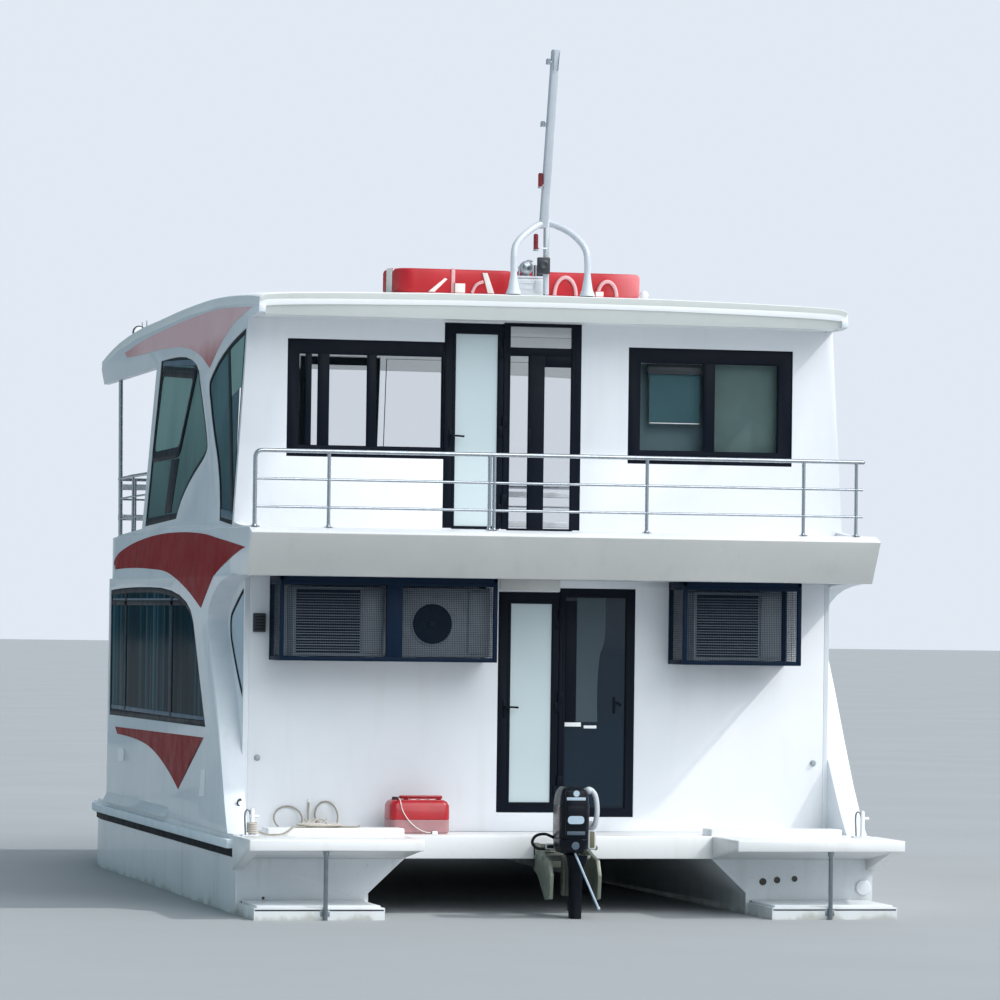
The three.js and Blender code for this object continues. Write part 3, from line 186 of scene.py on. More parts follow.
def on_axis(axis, u, v, w):
    """The point that lies at (u, v) across the axis and at w along it."""
    return {"x": (w, u, v), "y": (u, w, v), "z": (u, v, w)}[axis]


def rect(u0, u1, v0, v1):
    return [(u0, v0), (u1, v0), (u1, v1), (u0, v1)]


def curve(points, bends=8):
    """Points of two numbers are corners; [cu, cv, u, v] is reached by a curve that bends to (cu, cv)."""
    line = [tuple(points[0][-2:])]
    for p in points[1:]:
        if len(p) == 2:
            line.append(tuple(p))
            continue
        (u0, v0), (cu, cv, u1, v1) = line[-1], p
        for i in range(1, bends + 1):
            t = i / bends
            line.append((
                (1 - t) ** 2 * u0 + 2 * t * (1 - t) * cu + t * t * u1,
                (1 - t) ** 2 * v0 + 2 * t * (1 - t) * cv + t * t * v1,
            ))
    return line


def smooth(points, steps=8):
    """A smooth line through points, which keeps close to them where they stand unevenly."""
    pts = [Vector(p) for p in points]
    ends = [2 * pts[0] - pts[1], *pts, 2 * pts[-1] - pts[-2]]
    line = []
    for a, b, c, d in zip(ends, ends[1:], ends[2:], ends[3:]):
        before, span, after = ((q - p).length ** 0.5 for p, q in ((a, b), (b, c), (c, d)))
        start = ((b - a) / before - (c - a) / (before + span)) * span + (c - b)
        end = ((d - c) / after - (d - b) / (span + after)) * span + (c - b)
        for i in range(steps):
            t = i / steps
            line.append(b + start * t + (3 * (c - b) - 2 * start - end) * t ** 2
                        + (2 * (b - c) + start + end) * t ** 3)
    line.append(pts[-1])
    return [tuple(p) for p in line]


def length_of(line):
    return sum((Vector(b) - Vector(a)).length for a, b in zip(line, line[1:]))


def even(line, step):
    """The same line with points about one step apart."""
    count = max(2, round(length_of(line) / step))
    gap = length_of(line) / count
    spaced, gone = [line[0]], 0.0
    for a, b in zip(line, line[1:]):
        span = (Vector(b) - Vector(a)).length
        while len(spaced) < count and gone + span >= gap * len(spaced):
            spaced.append(tuple(Vector(a).lerp(Vector(b), (gap * len(spaced) - gone) / span)))
        gone += span
    return spaced + [line[-1]]


def bend(a, b, c, back, steps):
    """The corner b between a and c as a curve, which starts and ends that far back from it."""
    start, end = b + (a - b).normalized() * back, b + (c - b).normalized() * back
    return [start.lerp(b, k / steps).lerp(b.lerp(end, k / steps), k / steps) for k in range(steps + 1)]


def round_corners(points, radius, steps=6):
    """An open 3-D line whose inner corners are rounded."""
    pts = [Vector(p) for p in points]
    line = [pts[0]]
    for a, b, c in zip(pts, pts[1:], pts[2:]):
        line += bend(a, b, c, min(radius, (a - b).length / 2, (c - b).length / 2), steps)
    return [tuple(p) for p in [*line, pts[-1]]]


def round_outline(points, radius, steps=4):
    """A closed outline whose corners are rounded."""
    pts = [Vector(p) for p in points]
    corners = zip(pts[-1:] + pts[:-1], pts, pts[1:] + pts[:1])
    return [tuple(p) for a, b, c in corners for p in bend(a, b, c, radius, steps)]


def circle(radius, count, points=None):
    """Points round the origin, count to a turn; more or fewer of them where points says so."""
    turns = (2 * math.pi * i / count for i in range(points or count))
    return [(radius * math.cos(t), radius * math.sin(t)) for t in turns]


def signed_area(points):
    pairs = zip(points, points[1:] + points[:1])
    return sum(a[0] * b[1] - b[0] * a[1] for a, b in pairs) / 2


def inset(points, by):
    """A closed outline drawn in by the same distance all round."""
    pts = [Vector(p) for p in points]
    side = 1 if signed_area(points) > 0 else -1
    drawn = []
    for i, p in enumerate(pts):
        before = (p - pts[i - 1]).normalized()
        after = (pts[(i + 1) % len(pts)] - p).normalized()
        n1 = Vector((-before.y, before.x)) * side
        n2 = Vector((-after.y, after.x)) * side
        middle = n1 + n2
        if middle.length < 1e-6:
            middle = n1
        middle.normalize()
        drawn.append(tuple(p + middle * by / max(0.35, middle.dot(n1))))
    return drawn


def pane_outline(points, by):
    """An outline drawn in, without the points that a tight corner turns inside out."""
    pts = [Vector(p) for p in points]

    def gap(p):
        near = []
        for a, b in zip(pts, pts[1:] + pts[:1]):
            foot, share = intersect_point_line(p, a, b)
            near.append((p - (foot if 0 <= share <= 1 else a if share < 0 else b).to_2d()).length)
        return min(near)

    return [q for q in inset(points, by) if gap(Vector(q)) > 0.97 * by]


SHARP = 0.5  # an edge of a simple form that turns by more radians than this is rounded


class Shape:
    """Gathers simple forms in one mesh, which becomes one piece of the boat."""

    def __init__(self, bm=None):
        self.bm = bm or bmesh.new()
        self.paint = 0

    def _keep(self, faces, bevel=0.0, segments=2):
        faces = list(faces)
        for f in faces:
            f.material_index = self.paint
        bmesh.ops.recalc_face_normals(self.bm, faces=faces)
        if bevel:
            self.round_edges({e for f in faces for e in f.edges}, bevel, SHARP, segments)
        return self

    def round_edges(self, edges, bevel, angle, segments=2):
        """Rounds the edges that turn by more than the angle."""
        sharp = [e for e in edges if len(e.link_faces) == 2 and e.calc_face_angle() > angle]
        bmesh.ops.bevel(self.bm, geom=sharp, offset=bevel, segments=segments, profile=0.5,
                        affect="EDGES", clamp_overlap=True)

    def box(self, low, high, bevel=0.0, segments=2):
        points = rect(low[0], high[0], low[1], high[1])
        return self.prism("z", points, low[2], high[2], bevel, segments)

    def prism(self, axis, points, a, b, bevel=0.0, segments=2):
        return self.loft([[on_axis(axis, u, v, w) for u, v in points] for w in (a, b)], bevel, segments)

    def ring(self, axis, outer, inner, a, b, bevel=0.0):
        """A flat frame between two outlines of equally many points."""
        edges = ((outer, a), (inner, a), (inner, b), (outer, b))
        return self.closed_loft([[on_axis(axis, u, v, w) for u, v in line] for line, w in edges], bevel)

    def _rings(self, sections):
        return [[self.bm.verts.new(p) for p in section] for section in sections]

    def _bridge(self, pairs):
        """Four-sided faces between the two rings of each pair."""
        faces = []
        for low, high in pairs:
            for i in range(len(low)):
                after = (i + 1) % len(low)
                faces.append(self.bm.faces.new((low[i], high[i], high[after], low[after])))
        return faces

    def loft(self, sections, bevel=0.0, segments=2):
        """A closed form through closed sections of equally many points."""
        rings = self._rings(sections)
        ends = [self.bm.faces.new(rings[0]), self.bm.faces.new(rings[-1][::-1])]
        return self._keep(ends + self._bridge(zip(rings, rings[1:])), bevel, segments)

    def closed_loft(self, sections, bevel=0.0):
        """A form through closed sections, the last of which joins the first."""
        rings = self._rings(sections)
        return self._keep(self._bridge(zip(rings, rings[1:] + rings[:1])), bevel)

    def tube(self, points, radius, sides=12, closed=False, strands=0, lay=1.0):
        """A round tube along a line; radius is a number, or one for each point.

        With strands it is a laid rope, whose strands turn once round it in each lay.
        """
        pts = [Vector(p) for p in points]
        radii = radius if isinstance(radius, (list, tuple)) else [radius] * len(pts)
        n, across, gone = len(pts), None, 0.0
        sections = []
        for i, p in enumerate(pts):
            ahead = pts[(i + 1) % n] if closed or i + 1 < n else p
            behind = pts[i - 1] if closed or i else p
            along = (ahead - behind).normalized()
            gone += (p - pts[i - 1]).length if i else 0.0
            if across is None:
                side = Vector((0, 0, 1)) if abs(along.z) < 0.9 else Vector((1, 0, 0))
                across = side.cross(along).normalized()
            across = (across - along * across.dot(along)).normalized()
            other = along.cross(across)
            section = []
            for k in range(sides):
                t = 2 * math.pi * k / sides
                r = radii[i]
                if strands:
                    r *= 0.80 + 0.20 * abs(math.cos(strands / 2 * (t - 2 * math.pi * gone / lay)))
                section.append(p + r * (across * math.cos(t) + other * math.sin(t)))
            sections.append(section)
        return self.closed_loft(sections) if closed else self.loft(sections)

    def lathe(self, profile, at, axis=(0, 0, 1), sides=24):
        """Turns (radius, height) pairs round an axis through the point."""
        turn = Vector(axis).normalized().to_track_quat("Z", "Y").to_matrix()
        return self.loft([[Vector(at) + turn @ Vector((x, y, h)) for x, y in circle(max(r, 1e-4), sides)]
                          for r, h in profile])

    def disc(self, radius, deep, at, axis=(0, 0, 1), sides=24):
        return self.lathe([(0, 0), (radius, 0), (radius, deep), (0, deep)], at, axis, sides)

    def ball(self, at, radius, sides=12):
        half = sides // 2
        turns = [math.pi * i / half for i in range(half + 1)]
        return self.lathe([(radius * math.sin(t), -radius * math.cos(t)) for t in turns], at, sides=sides)

    def lean(self):
        """Leans an upright piece of the port side in with the upper cabin."""
        for v in self.bm.verts:
            v.co.x += LEAN * (v.co.z - LEAN_FROM)

    def done(self, name, body, slot, *finishes, angle=35.0, replaces=()):
        mesh = bpy.data.meshes.new(name)
        self.bm.to_mesh(mesh)
        self.bm.free()
        mesh.polygons.foreach_set("use_smooth", [True] * len(mesh.polygons))
        mesh.set_sharp_from_angle(angle=math.radians(angle))
        for finish in finishes:
            mesh.materials.append(finish)
        piece = bpy.data.objects.new(name, mesh)
        bpy.context.scene.collection.objects.link(piece)
        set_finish(piece, slot)
        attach(piece, body)
        if replaces:
            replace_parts(piece, *replaces)
        return piece


def mirrored(piece, name, replaces=()):
    """The same piece on the other side of the boat."""
    twin = piece.copy()
    twin.data = piece.data.copy()
    twin.name = name
    twin.data.transform(Matrix.Scale(-1, 4, (1, 0, 0)))
    twin.data.flip_normals()
    bpy.context.scene.collection.objects.link(twin)
    if "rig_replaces" in twin:
        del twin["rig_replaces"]
    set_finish(twin, piece["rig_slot"])
    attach(twin, piece["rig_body"])
    if replaces:
        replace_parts(twin, *replaces)
    return twin


def soften(node, bevel, slot, *finishes, angle=30.0):
    """Stands for a CAD node with the same form, its edges rounded off."""
    shape = Shape()
    bm = shape.bm
    bm.from_mesh(NODES[node].data)
    bmesh.ops.remove_doubles(bm, verts=bm.verts, dist=1e-5)
    bmesh.ops.dissolve_limit(bm, angle_limit=math.radians(0.6), verts=bm.verts, edges=bm.edges)
    if bevel:
        shape.round_edges(bm.edges, bevel, math.radians(angle))
    for f in bm.faces:
        f.material_index = 0
    return shape.done(f"{node}_skin", NODES[node]["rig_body"], slot, *finishes, replaces=(node,))


# Finishes

def rgb(code):
    """The linear colour of a hex code."""
    parts = [int(code[i:i + 2], 16) / 255 for i in (0, 2, 4)]
    return tuple(c / 12.92 if c <= 0.04045 else ((c + 0.055) / 1.055) ** 2.4 for c in parts)


class Finish:
    """A procedural material whose colour, roughness and relief vary over the surface."""

    def __init__(self, name, color, metallic=0.0, coat=0.0, specular=0.5, alpha=1.0):
        self.mat = bpy.data.materials.new(name)
        self.mat.use_nodes = True
        self.nodes = self.mat.node_tree.nodes
        self.links = self.mat.node_tree.links
        self.bsdf = self.nodes["Principled BSDF"]
        self.place = self.nodes.new("ShaderNodeTexCoord").outputs["Object"]
        self.set("Base Color", (*rgb(color), 1))
        self.set("Metallic", metallic)
        self.set("Coat Weight", coat)
        self.set("Specular IOR Level", specular)
        self.set("Alpha", alpha)
        self.color = rgb(color)
        self.color_out = None

    def set(self, socket, value):
        self.bsdf.inputs[socket].default_value = value
        return self

    def noise(self, scale, detail=5.0, stretch=(1, 1, 1), rough=0.55):
        mapping = self.nodes.new("ShaderNodeMapping")
        mapping.inputs["Scale"].default_value = stretch
        self.links.new(self.place, mapping.inputs["Vector"])
        node = self.nodes.new("ShaderNodeTexNoise")
        node.inputs["Scale"].default_value = scale
        node.inputs["Detail"].default_value = detail
        node.inputs["Roughness"].default_value = rough
        self.links.new(mapping.outputs["Vector"], node.inputs["Vector"])
        return node.outputs["Fac"]

    def ramp(self, value, low, high, out_low=0.0, out_high=1.0):
        node = self.nodes.new("ShaderNodeMapRange")
        for socket, number in zip(("From Min", "From Max", "To Min", "To Max"),
                                  (low, high, out_low, out_high)):
            node.inputs[socket].default_value = number
        self.links.new(value, node.inputs["Value"])
        return node.outputs["Result"]

    def combine(self, operation, a, b):
        node = self.nodes.new("ShaderNodeMath")
        node.operation = operation
        for socket, value in zip(node.inputs, (a, b)):
            if isinstance(value, (int, float)):
                socket.default_value = value
            else:
                self.links.new(value, socket)
        return node.outputs["Value"]

    def axis(self, name):
        node = self.nodes.new("ShaderNodeSeparateXYZ")
        self.links.new(self.place, node.inputs["Vector"])
        return node.outputs[name]

    def blend_to(self, other, mask):
        """Mixes another colour over what is there, by the mask."""
        node = self.nodes.new("ShaderNodeMix")
        node.data_type = "RGBA"
        self.links.new(mask, node.inputs["Factor"])
        if self.color_out is None:
            node.inputs["A"].default_value = (*self.color, 1)
        else:
            self.links.new(self.color_out, node.inputs["A"])
        node.inputs["B"].default_value = (*rgb(other), 1)
        self.color_out = node.outputs["Result"]
        self.links.new(self.color_out, self.bsdf.inputs["Base Color"])
        return self

    def mottle(self, other, scale, low=0.35, high=0.75, amount=1.0, stretch=(1, 1, 1)):
        """Patches of another colour."""
        mask = self.ramp(self.noise(scale, stretch=stretch), low, high, 0.0, amount)
        return self.blend_to(other, mask)

    def roughness(self, low, high, scale=6.0, stretch=(1, 1, 1)):
        value = self.ramp(self.noise(scale, stretch=stretch), 0.3, 0.7, low, high)
        self.links.new(value, self.bsdf.inputs["Roughness"])
        return self

    def relief(self, scale, depth, detail=4.0, stretch=(1, 1, 1), height=None):
        node = self.nodes.new("ShaderNodeBump")
        node.inputs["Strength"].default_value = 1.0
        node.inputs["Distance"].default_value = depth
        self.links.new(height or self.noise(scale, detail, stretch), node.inputs["Height"])
        existing = self.bsdf.inputs["Normal"].links
        if existing:
            self.links.new(existing[0].from_socket, node.inputs["Normal"])
        self.links.new(node.outputs["Normal"], self.bsdf.inputs["Normal"])
        return self


def gelcoat(name, color, shade, dirt, dirt_amount):
    """White moulded glass fibre: faint unevenness, cloudy tone and thin run-off streaks."""
    f = Finish(name, color, coat=0.25)
    f.mottle(shade, 0.9, 0.35, 0.70, 0.55)
    f.mottle(dirt, 5.0, 0.55, 0.85, dirt_amount, stretch=(1, 1, 0.12))
    f.mottle(dirt, 22.0, 0.62, 0.85, dirt_amount * 0.8)
    f.roughness(0.28, 0.46, 3.0)
    f.relief(0.7, 0.012)
    f.relief(260.0, 0.0004)
    return f


WHITE = gelcoat("white_gelcoat", "eceef1", "dfe3e8", "c9c6bd", 0.20).mat
SIDE_WHITE = gelcoat("side_gelcoat", "e9eef2", "d9e0e6", "b9b8b2", 0.30).mat
TOP_WHITE = gelcoat("deck_gelcoat", "eff0f0", "e4e5e4", "c4bdae", 0.35).mat
# The white gelcoat made greyer: painted shade on the faces of the roof fascia that don't face up.
FASCIA_PAINTED_SHADE = gelcoat("fascia_painted_shade_gelcoat", "e6e9e4", "dbdfda", "c6c5bc", 0.2).mat
ROOF_WHITE = gelcoat("roof_gelcoat", "fbfcfc", "f4f6f7", "e6e5e0", 0.1).mat
# A greyer copy of the white gelcoat: painted shade on the slab's down-turned aft face, and the door head
# trim's own grey.
GREY_TRIM_AND_SLAB_SHADE = gelcoat("grey_trim_and_slab_shade_gelcoat", "d3d3cf", "c4c5c1", "b0aea5", 0.30).mat


def hull_finish():
    """Hull gelcoat with a brown waterline, splash marks and chalky patches."""
    f = gelcoat("hull_gelcoat", "e9edf0", "d3d9dd", "a9a89f", 0.45)
    z = f.axis("Z")
    wave = f.noise(3.0, stretch=(1, 1, 0.4))
    edge = f.combine("ADD", z, f.ramp(wave, 0.3, 0.7, -0.06, 0.06))
    f.blend_to("c4c5bb", f.ramp(edge, 0.16, 0.02, 0.0, 0.40))
    f.blend_to("8f8e7e", f.ramp(edge, 0.04, 0.0, 0.0, 0.5))
    return f.mat


HULL = hull_finish()


def plain(name, color, low, high, metallic=0.0, coat=0.0, other=None, scale=8.0, relief=0.0,
          relief_scale=120.0, amount=0.6, specular=0.5):
    """A finish with a slight change of tone and gloss."""
    f = Finish(name, color, metallic, coat, specular)
    if other:
        f.mottle(other, scale, 0.35, 0.75, amount)
    f.roughness(low, high, scale)
    if relief:
        f.relief(relief_scale, relief)
    return f.mat


ALUMINIUM = plain("black_aluminium", "030c1a", 0.42, 0.55, other="06101f", relief=0.0003, specular=0.15)
RUBBER = plain("black_rubber", "0a1017", 0.55, 0.75, other="141a21", relief=0.0006, specular=0.3)
GREY_RAIL = plain("grey_rubber", "e9f1f5", 0.45, 0.62, other="d3e0e7", scale=3.0, relief=0.0005)
STEEL = plain("polished_steel", "b4babf", 0.20, 0.34, 1.0, other="979da3", scale=14.0)
ROPE_PALE = plain("pale_rope", "cfc9bf", 0.75, 0.9, other="a59d90", scale=60.0, relief=0.002,
                  relief_scale=180.0)
GRAB_ROPE = plain("grab_rope", "e4b4b6", 0.65, 0.8, other="d59a9d", relief=0.0012, relief_scale=200.0)
HOSE_WHITE = plain("white_hose", "eceae4", 0.4, 0.55, other="dedbd2", scale=20.0)
TANK_HANDLE = plain("handle_red", "7e0c16", 0.35, 0.5, other="650a12", scale=6.0)
COWL_TRIM = plain("pale_trim", "c9cfd3", 0.35, 0.5, other="b4bbc0", scale=9.0)
BRONZE = plain("olive_plastic", "6c6a50", 0.45, 0.6, other="57563f", scale=12.0)
BLIND = plain("blind_cloth", "5d7370", 0.8, 0.95, other="54696a", scale=6.0, relief=0.0006)
GREY_BLIND = plain("grey_blind", "647c81", 0.8, 0.95, other="5a7277", scale=3.0, relief=0.0004)
DARK_BLIND = plain("teal_blind", "3c5f66", 0.8, 0.95, other="34555c", scale=6.0, relief=0.0006)
# Paler blue-grey for frame pieces: partly the frames' own blue-grey, partly painted highlight.
BLUE_GREY_AND_HIGHLIGHT = plain("blue_grey_frame_painted_highlight", "51677a", 0.4, 0.55, other="445a6d", scale=6.0)
STRUT_STEEL = plain("weathered_steel", "8d959b", 0.30, 0.48, 0.8, other="6f777d", scale=10.0)
CAGE_PAINT = plain("navy_paint", "041a30", 0.48, 0.62, other="07233c", relief=0.0004, specular=0.15)
COOLER_CASE = plain("cooler_enamel", "8b9398", 0.4, 0.55, other="7a8288", relief=0.0004)
COOLER_DARK = plain("cooler_black", "0a161f", 0.45, 0.6, other="0f1e29", specular=0.2)
WEBBING = plain("white_webbing", "f1efe9", 0.6, 0.8, other="ddd9cf", relief=0.0012, relief_scale=300.0)
ROPE = plain("rope_fibre", "a49d90", 0.75, 0.9, other="7d776c", scale=60.0, relief=0.002,
             relief_scale=180.0)
COWL = plain("cowl_lacquer", "030914", 0.25, 0.4, 0.0, 0.08, other="060f1c", scale=3.0, specular=0.18)
MOTOR_PAINT = plain("motor_paint", "070d15", 0.4, 0.55, other="0d151e", scale=12.0, specular=0.15)
SILVER = plain("silver_decal", "b4c6d4", 0.35, 0.5, other="9fb2c2", scale=10.0)
DIM_SILVER = plain("dim_decal", "4d5c69", 0.35, 0.5, other="404f5c", scale=10.0)
BRACKET = plain("bracket_paint", "7f857a", 0.42, 0.6, 0.35, other="5f655c", scale=10.0, relief=0.0008)
GREASE = plain("oiled_steel", "3b3a33", 0.3, 0.45, 0.8, other="55534a", scale=30.0)
TANK_RED = plain("tank_red", "b3121f", 0.28, 0.4, 0.0, 0.2, other="98101b", scale=5.0)
TANK_CLEAR = plain("tank_translucent", "b08486", 0.35, 0.5, 0.0, 0.1, other="955f63", scale=5.0)
MAST_PAINT = plain("mast_paint", "ccd2d8", 0.3, 0.42, other="bcc3ca", scale=4.0)
TRIM_GREY = plain("trim_grey", "a4adb3", 0.4, 0.55, other="929ca3")
DARK_FITTING = plain("dark_fitting", "2b3035", 0.4, 0.6, other="3c4247")
LAMP_RED = plain("lamp_red", "8a1524", 0.12, 0.2, 0.0, 0.5, other="6b0f1c")
# Brown-grey: stain on the outlets' rims, and painted shade on the discs that stand for the holes' insides.
STAIN_AND_HOLE_SHADE = plain("stain_and_painted_hole_shade", "4e4a44", 0.7, 0.85, other="6f695f", scale=30.0)
FLOOR = plain("studio_floor", "a3a7a9", 0.75, 0.9, other="9da1a3", scale=0.3)


def cover_finish():
    """Red cover, with a painted sunlit highlight that turns its starboard end pale."""
    f = Finish("red_cover_painted_sun", "c01320")
    f.mottle("9d101c", 4.0, 0.35, 0.75, 0.6)
    # Painted sunlight: pale pink rising towards starboard, the side the sun comes from.
    f.blend_to("e39094", f.ramp(f.axis("X"), 0.72, 1.09, 0.0, 0.7))
    f.roughness(0.42, 0.6, 4.0)
    f.relief(9.0, 0.002)
    return f.mat


def faded_film():
    """Red film faded to pink, darker at its two tips."""
    f = Finish("faded_red_film", "e9bfc1", specular=0.25)
    f.mottle("f0d4d4", 1.3, 0.40, 0.75, 0.6)
    f.blend_to("b25553", f.ramp(f.combine("ADD", f.axis("Z"), f.ramp(f.noise(2.0), 0.3, 0.7, -0.05, 0.05)),
                                5.22, 4.98, 0.0, 0.75))
    f.blend_to("bf7271", f.ramp(f.axis("Y"), 5.9, 7.1, 0.0, 0.55))
    f.roughness(0.40, 0.55, 5.0)
    f.relief(3.0, 0.002)
    return f.mat


def swoosh_finish(name, color, worn, amount):
    """Vinyl film with sun-faded patches."""
    f = Finish(name, color, specular=0.06)
    f.mottle(worn, 1.3, 0.40, 0.75, amount)
    f.mottle(worn, 14.0, 0.60, 0.85, amount * 0.6, stretch=(1, 1, 0.3))
    f.roughness(0.35, 0.52, 5.0)
    f.relief(3.0, 0.002)
    return f.mat


SWOOSH_RED = swoosh_finish("red_film", "92191a", "a62c29", 0.45)
SWOOSH_FADED = faded_film()
RED_COVER = cover_finish()


def glass(name, color, alpha, low=0.02, high=0.06, other=None):
    """A flat pane: tinted, with a faint waviness."""
    f = Finish(name, color, specular=0.3, alpha=alpha)
    if other:
        f.mottle(other, 0.8, 0.3, 0.7, 0.6)
    f.roughness(low, high, 2.0)
    f.relief(1.1, 0.0015)
    return f.mat


def curtained_glass():
    """Dark teal side glass with the curtains behind it painted on: pale stripes of painted light on their
    folds, dark stripes of painted shade between them.
    """
    f = Finish("side_glass", "0b2a36", specular=0.002)
    # Painted light on the curtains' folds.
    f.mottle("3d6873", 1.7, 0.48, 0.62, 0.8, stretch=(1, 3.0, 0.05))
    # Painted shade between the folds.
    f.mottle("03141f", 2.3, 0.52, 0.62, 0.9, stretch=(1, 2.4, 0.04))
    f.roughness(0.05, 0.12, 2.0)
    return f.mat


def green_glass(name, color, low):
    """Side glass with a soft green-grey tone, darker to its foot."""
    f = Finish(name, color, specular=0.02)
    f.mottle(low, 1.5, 0.45, 0.75, 0.55, stretch=(1, 1, 0.7))
    f.blend_to(low, f.ramp(f.axis("Z"), 4.6, 3.6, 0.0, 0.75))
    f.roughness(0.04, 0.10, 2.0)
    return f.mat


TINTED_GLASS = glass("tinted_glass", "12222f", 0.93, other="1d3140")
SIDE_GLASS = curtained_glass()
AFT_GLASS = green_glass("aft_glass", "58757b", "2f464d")
UPPER_GLASS = green_glass("upper_glass", "76948f", "475f5f")
SASH_GLASS = green_glass("sash_glass", "8fada7", "74928e")
LIGHT_FILM = plain("grey_window_film", "4a575e", 0.35, 0.5, other="414e56", scale=1.2, specular=0.2)
# Opaque pale blue-white glass: a painted reflection.
QUARTER_REFLECTION = glass("quarter_glass_painted_reflection", "b9cbd6", 1.0, other="a5b8c6")
CLEAR_GLASS = glass("clear_glass", "22343a", 0.06)
FROSTED = glass("frosted_glass", "d2dfe1", 1.0, 0.35, 0.5, other="c6d6d9")


# Hulls, decks and platforms

def hulls_and_decks():
    for side, _ in SIDES:
        soften(f"hull_{side}", 0, "gelcoat", HULL)
        swim_platform(side)
        soften(f"side_shell_{side}", 0.006, "gelcoat", SIDE_WHITE)
        soften(f"side_panel_upper_{side}", 0.003, "gelcoat", SIDE_WHITE)
    soften("bridge_deck", 0.010, "gelcoat", TOP_WHITE)
    for wall in ("stern_wall_lower", "stern_wall_upper", "front_wall_lower"):
        soften(wall, 0.006, "gelcoat", WHITE)
    deck = soften("upper_deck", 0.008, "gelcoat", WHITE, GREY_TRIM_AND_SLAB_SHADE)
    # The slab's aft face turns down, away from the light: it takes the greyer gelcoat as painted shade.
    for polygon in deck.data.polygons:
        if polygon.normal.y < -0.6 and polygon.center.z < SLAB_TOP - 0.05:
            polygon.material_index = 1


def swim_platform(side):
    """A platform whose leg, under its plate, is steel."""
    mesh = soften(f"swim_platform_{side}", 0.010, "gelcoat", TOP_WHITE, STRUT_STEEL, angle=40.0).data
    near, plate_foot = STRUT_R + 0.005, 0.595
    for polygon in mesh.polygons:
        x, y, z = polygon.center
        if abs(abs(x) - STRUT_X) < near and y < STRUT_Y + near and z < plate_foot:
            polygon.material_index = 1
    for vertex in mesh.vertices:
        vertex.co.y = max(vertex.co.y, PLATFORM_AFT)


def steps():
    """On each waterline step: a plate, black strips of painted shade under its aft lip and at the transom,
    and the leg's bracket.
    """
    for side, hand in SIDES:
        s = Shape()
        top, aft = STEP["top"], STEP["aft"]
        a, b = sorted((hand * STEP["x0"], hand * STEP["x1"]))
        s.box((a + 0.030, aft + 0.030, top - 0.002), (b - 0.030, TRANSOM - 0.030, top + 0.020), 0.006)
        s.box((a + 0.004, aft - 0.006, top - 0.014), (b - 0.004, aft + 0.010, top + 0.004), 0.004)
        # Black rubber strips: painted shade under the plate's aft lip and in the gap at the transom.
        s.paint = 1
        s.box((a + 0.010, aft - 0.002, top - 0.024), (b - 0.010, aft + 0.006, top - 0.013))
        s.box((a + 0.020, TRANSOM - 0.024, top), (b - 0.020, TRANSOM + 0.001, top + 0.024), 0.004)
        s.paint = 2
        x = hand * STRUT_X
        s.box((x - 0.045, aft - 0.004, 0.030), (x + 0.045, aft + 0.004, 0.085), 0.003)
        s.lathe([(0, 0.560), (0.024, 0.560), (0.028, 0.592), (0.028, 0.598), (0, 0.598)],
                (x, STRUT_Y, 0), sides=20)
        s.done(f"step_plate_{side}", BOAT, "gelcoat", HULL, RUBBER, STRUT_STEEL)


# Each hole in a transom: x, z and radius
OUTLETS = [(1.894, 0.292, 0.022), (2.027, 0.307, 0.020), (2.191, 0.318, 0.018), (-2.678, 0.147, 0.009)]


def transom_marks():
    """Holes, with stain on their rims and painted shade for their insides, and a round fitting on the
    transoms.
    """
    s = Shape()
    face = TRANSOM - 0.0005
    for x, z, r in OUTLETS:
        # A raised rim round a flat disc that stands for the hole's inside, painted dark as shade.
        s.lathe([(0, 0), (r * 1.5, 0), (r * 1.45, 0.006), (r * 1.1, 0.006), (r, 0.001), (0, 0.001)],
                (x, face, z), (0, -1, 0), 24)
    s.done("transom_outlets", BOAT, "gelcoat", STAIN_AND_HOLE_SHADE)
    s = Shape()
    s.lathe([(0, 0), (0.070, 0), (0.072, 0.010), (0.064, 0.024), (0.030, 0.030), (0, 0.030)],
            (2.835, face, 0.240), (0, -1, 0), 32)
    s.done("transom_cap", BOAT, "gelcoat", WHITE)


def rub_rail():
    """Grey moulding over a recess painted black as shade in the gap under it, in the form of the solid."""
    recess_top = 0.5815
    mesh = soften("rub_rail", 0.012, "rub_rail", GREY_RAIL, RUBBER).data
    # Faces below the recess's top take black rubber: painted shade in the gap under the moulding.
    for polygon in mesh.polygons:
        low = all(mesh.vertices[i].co.z < recess_top for i in polygon.vertices)
        polygon.material_index = 1 if low else 0


# Swooshes and patches: thin film on the port side, mirrored to starboard

# Each edge is a list of (y, z) that a smooth line passes through.
SWOOSH_MID = {
    "upper": [(6.99, 3.072), (6.61, 3.205), (5.87, 3.304), (4.60, 3.384), (3.16, 3.412), (1.45, 3.381),
              (0.20, 3.302), (-0.81, 3.232)],
    "aft": [(-0.81, 3.232), (-0.48, 3.200), (0.35, 3.055), (0.95, 2.811), (1.20, 2.692)],
    "lower": [(1.20, 2.692), (1.96, 2.859), (3.09, 3.025), (4.40, 3.075), (5.73, 3.088), (6.99, 3.072)],
}
SWOOSH_LOW = {
    "upper": [(6.25, 1.477), (0.92, 1.509)],
    "aft": [(0.92, 1.509), (1.28, 1.393), (1.65, 1.253), (2.27, 0.988)],
    "lower": [(2.27, 0.988), (2.80, 1.126), (3.41, 1.250), (4.02, 1.335), (4.66, 1.378), (5.50, 1.402),
              (6.24, 1.409)],
}
PATCH_FORE = {
    "upper": [(6.05, 1.262), (5.85, 1.274), (5.68, 1.262)],
    "aft": [(5.68, 1.262), (5.655, 1.210), (5.68, 1.152)],
    "lower": [(5.68, 1.152), (5.85, 1.138), (6.02, 1.150), (6.05, 1.262)],
}
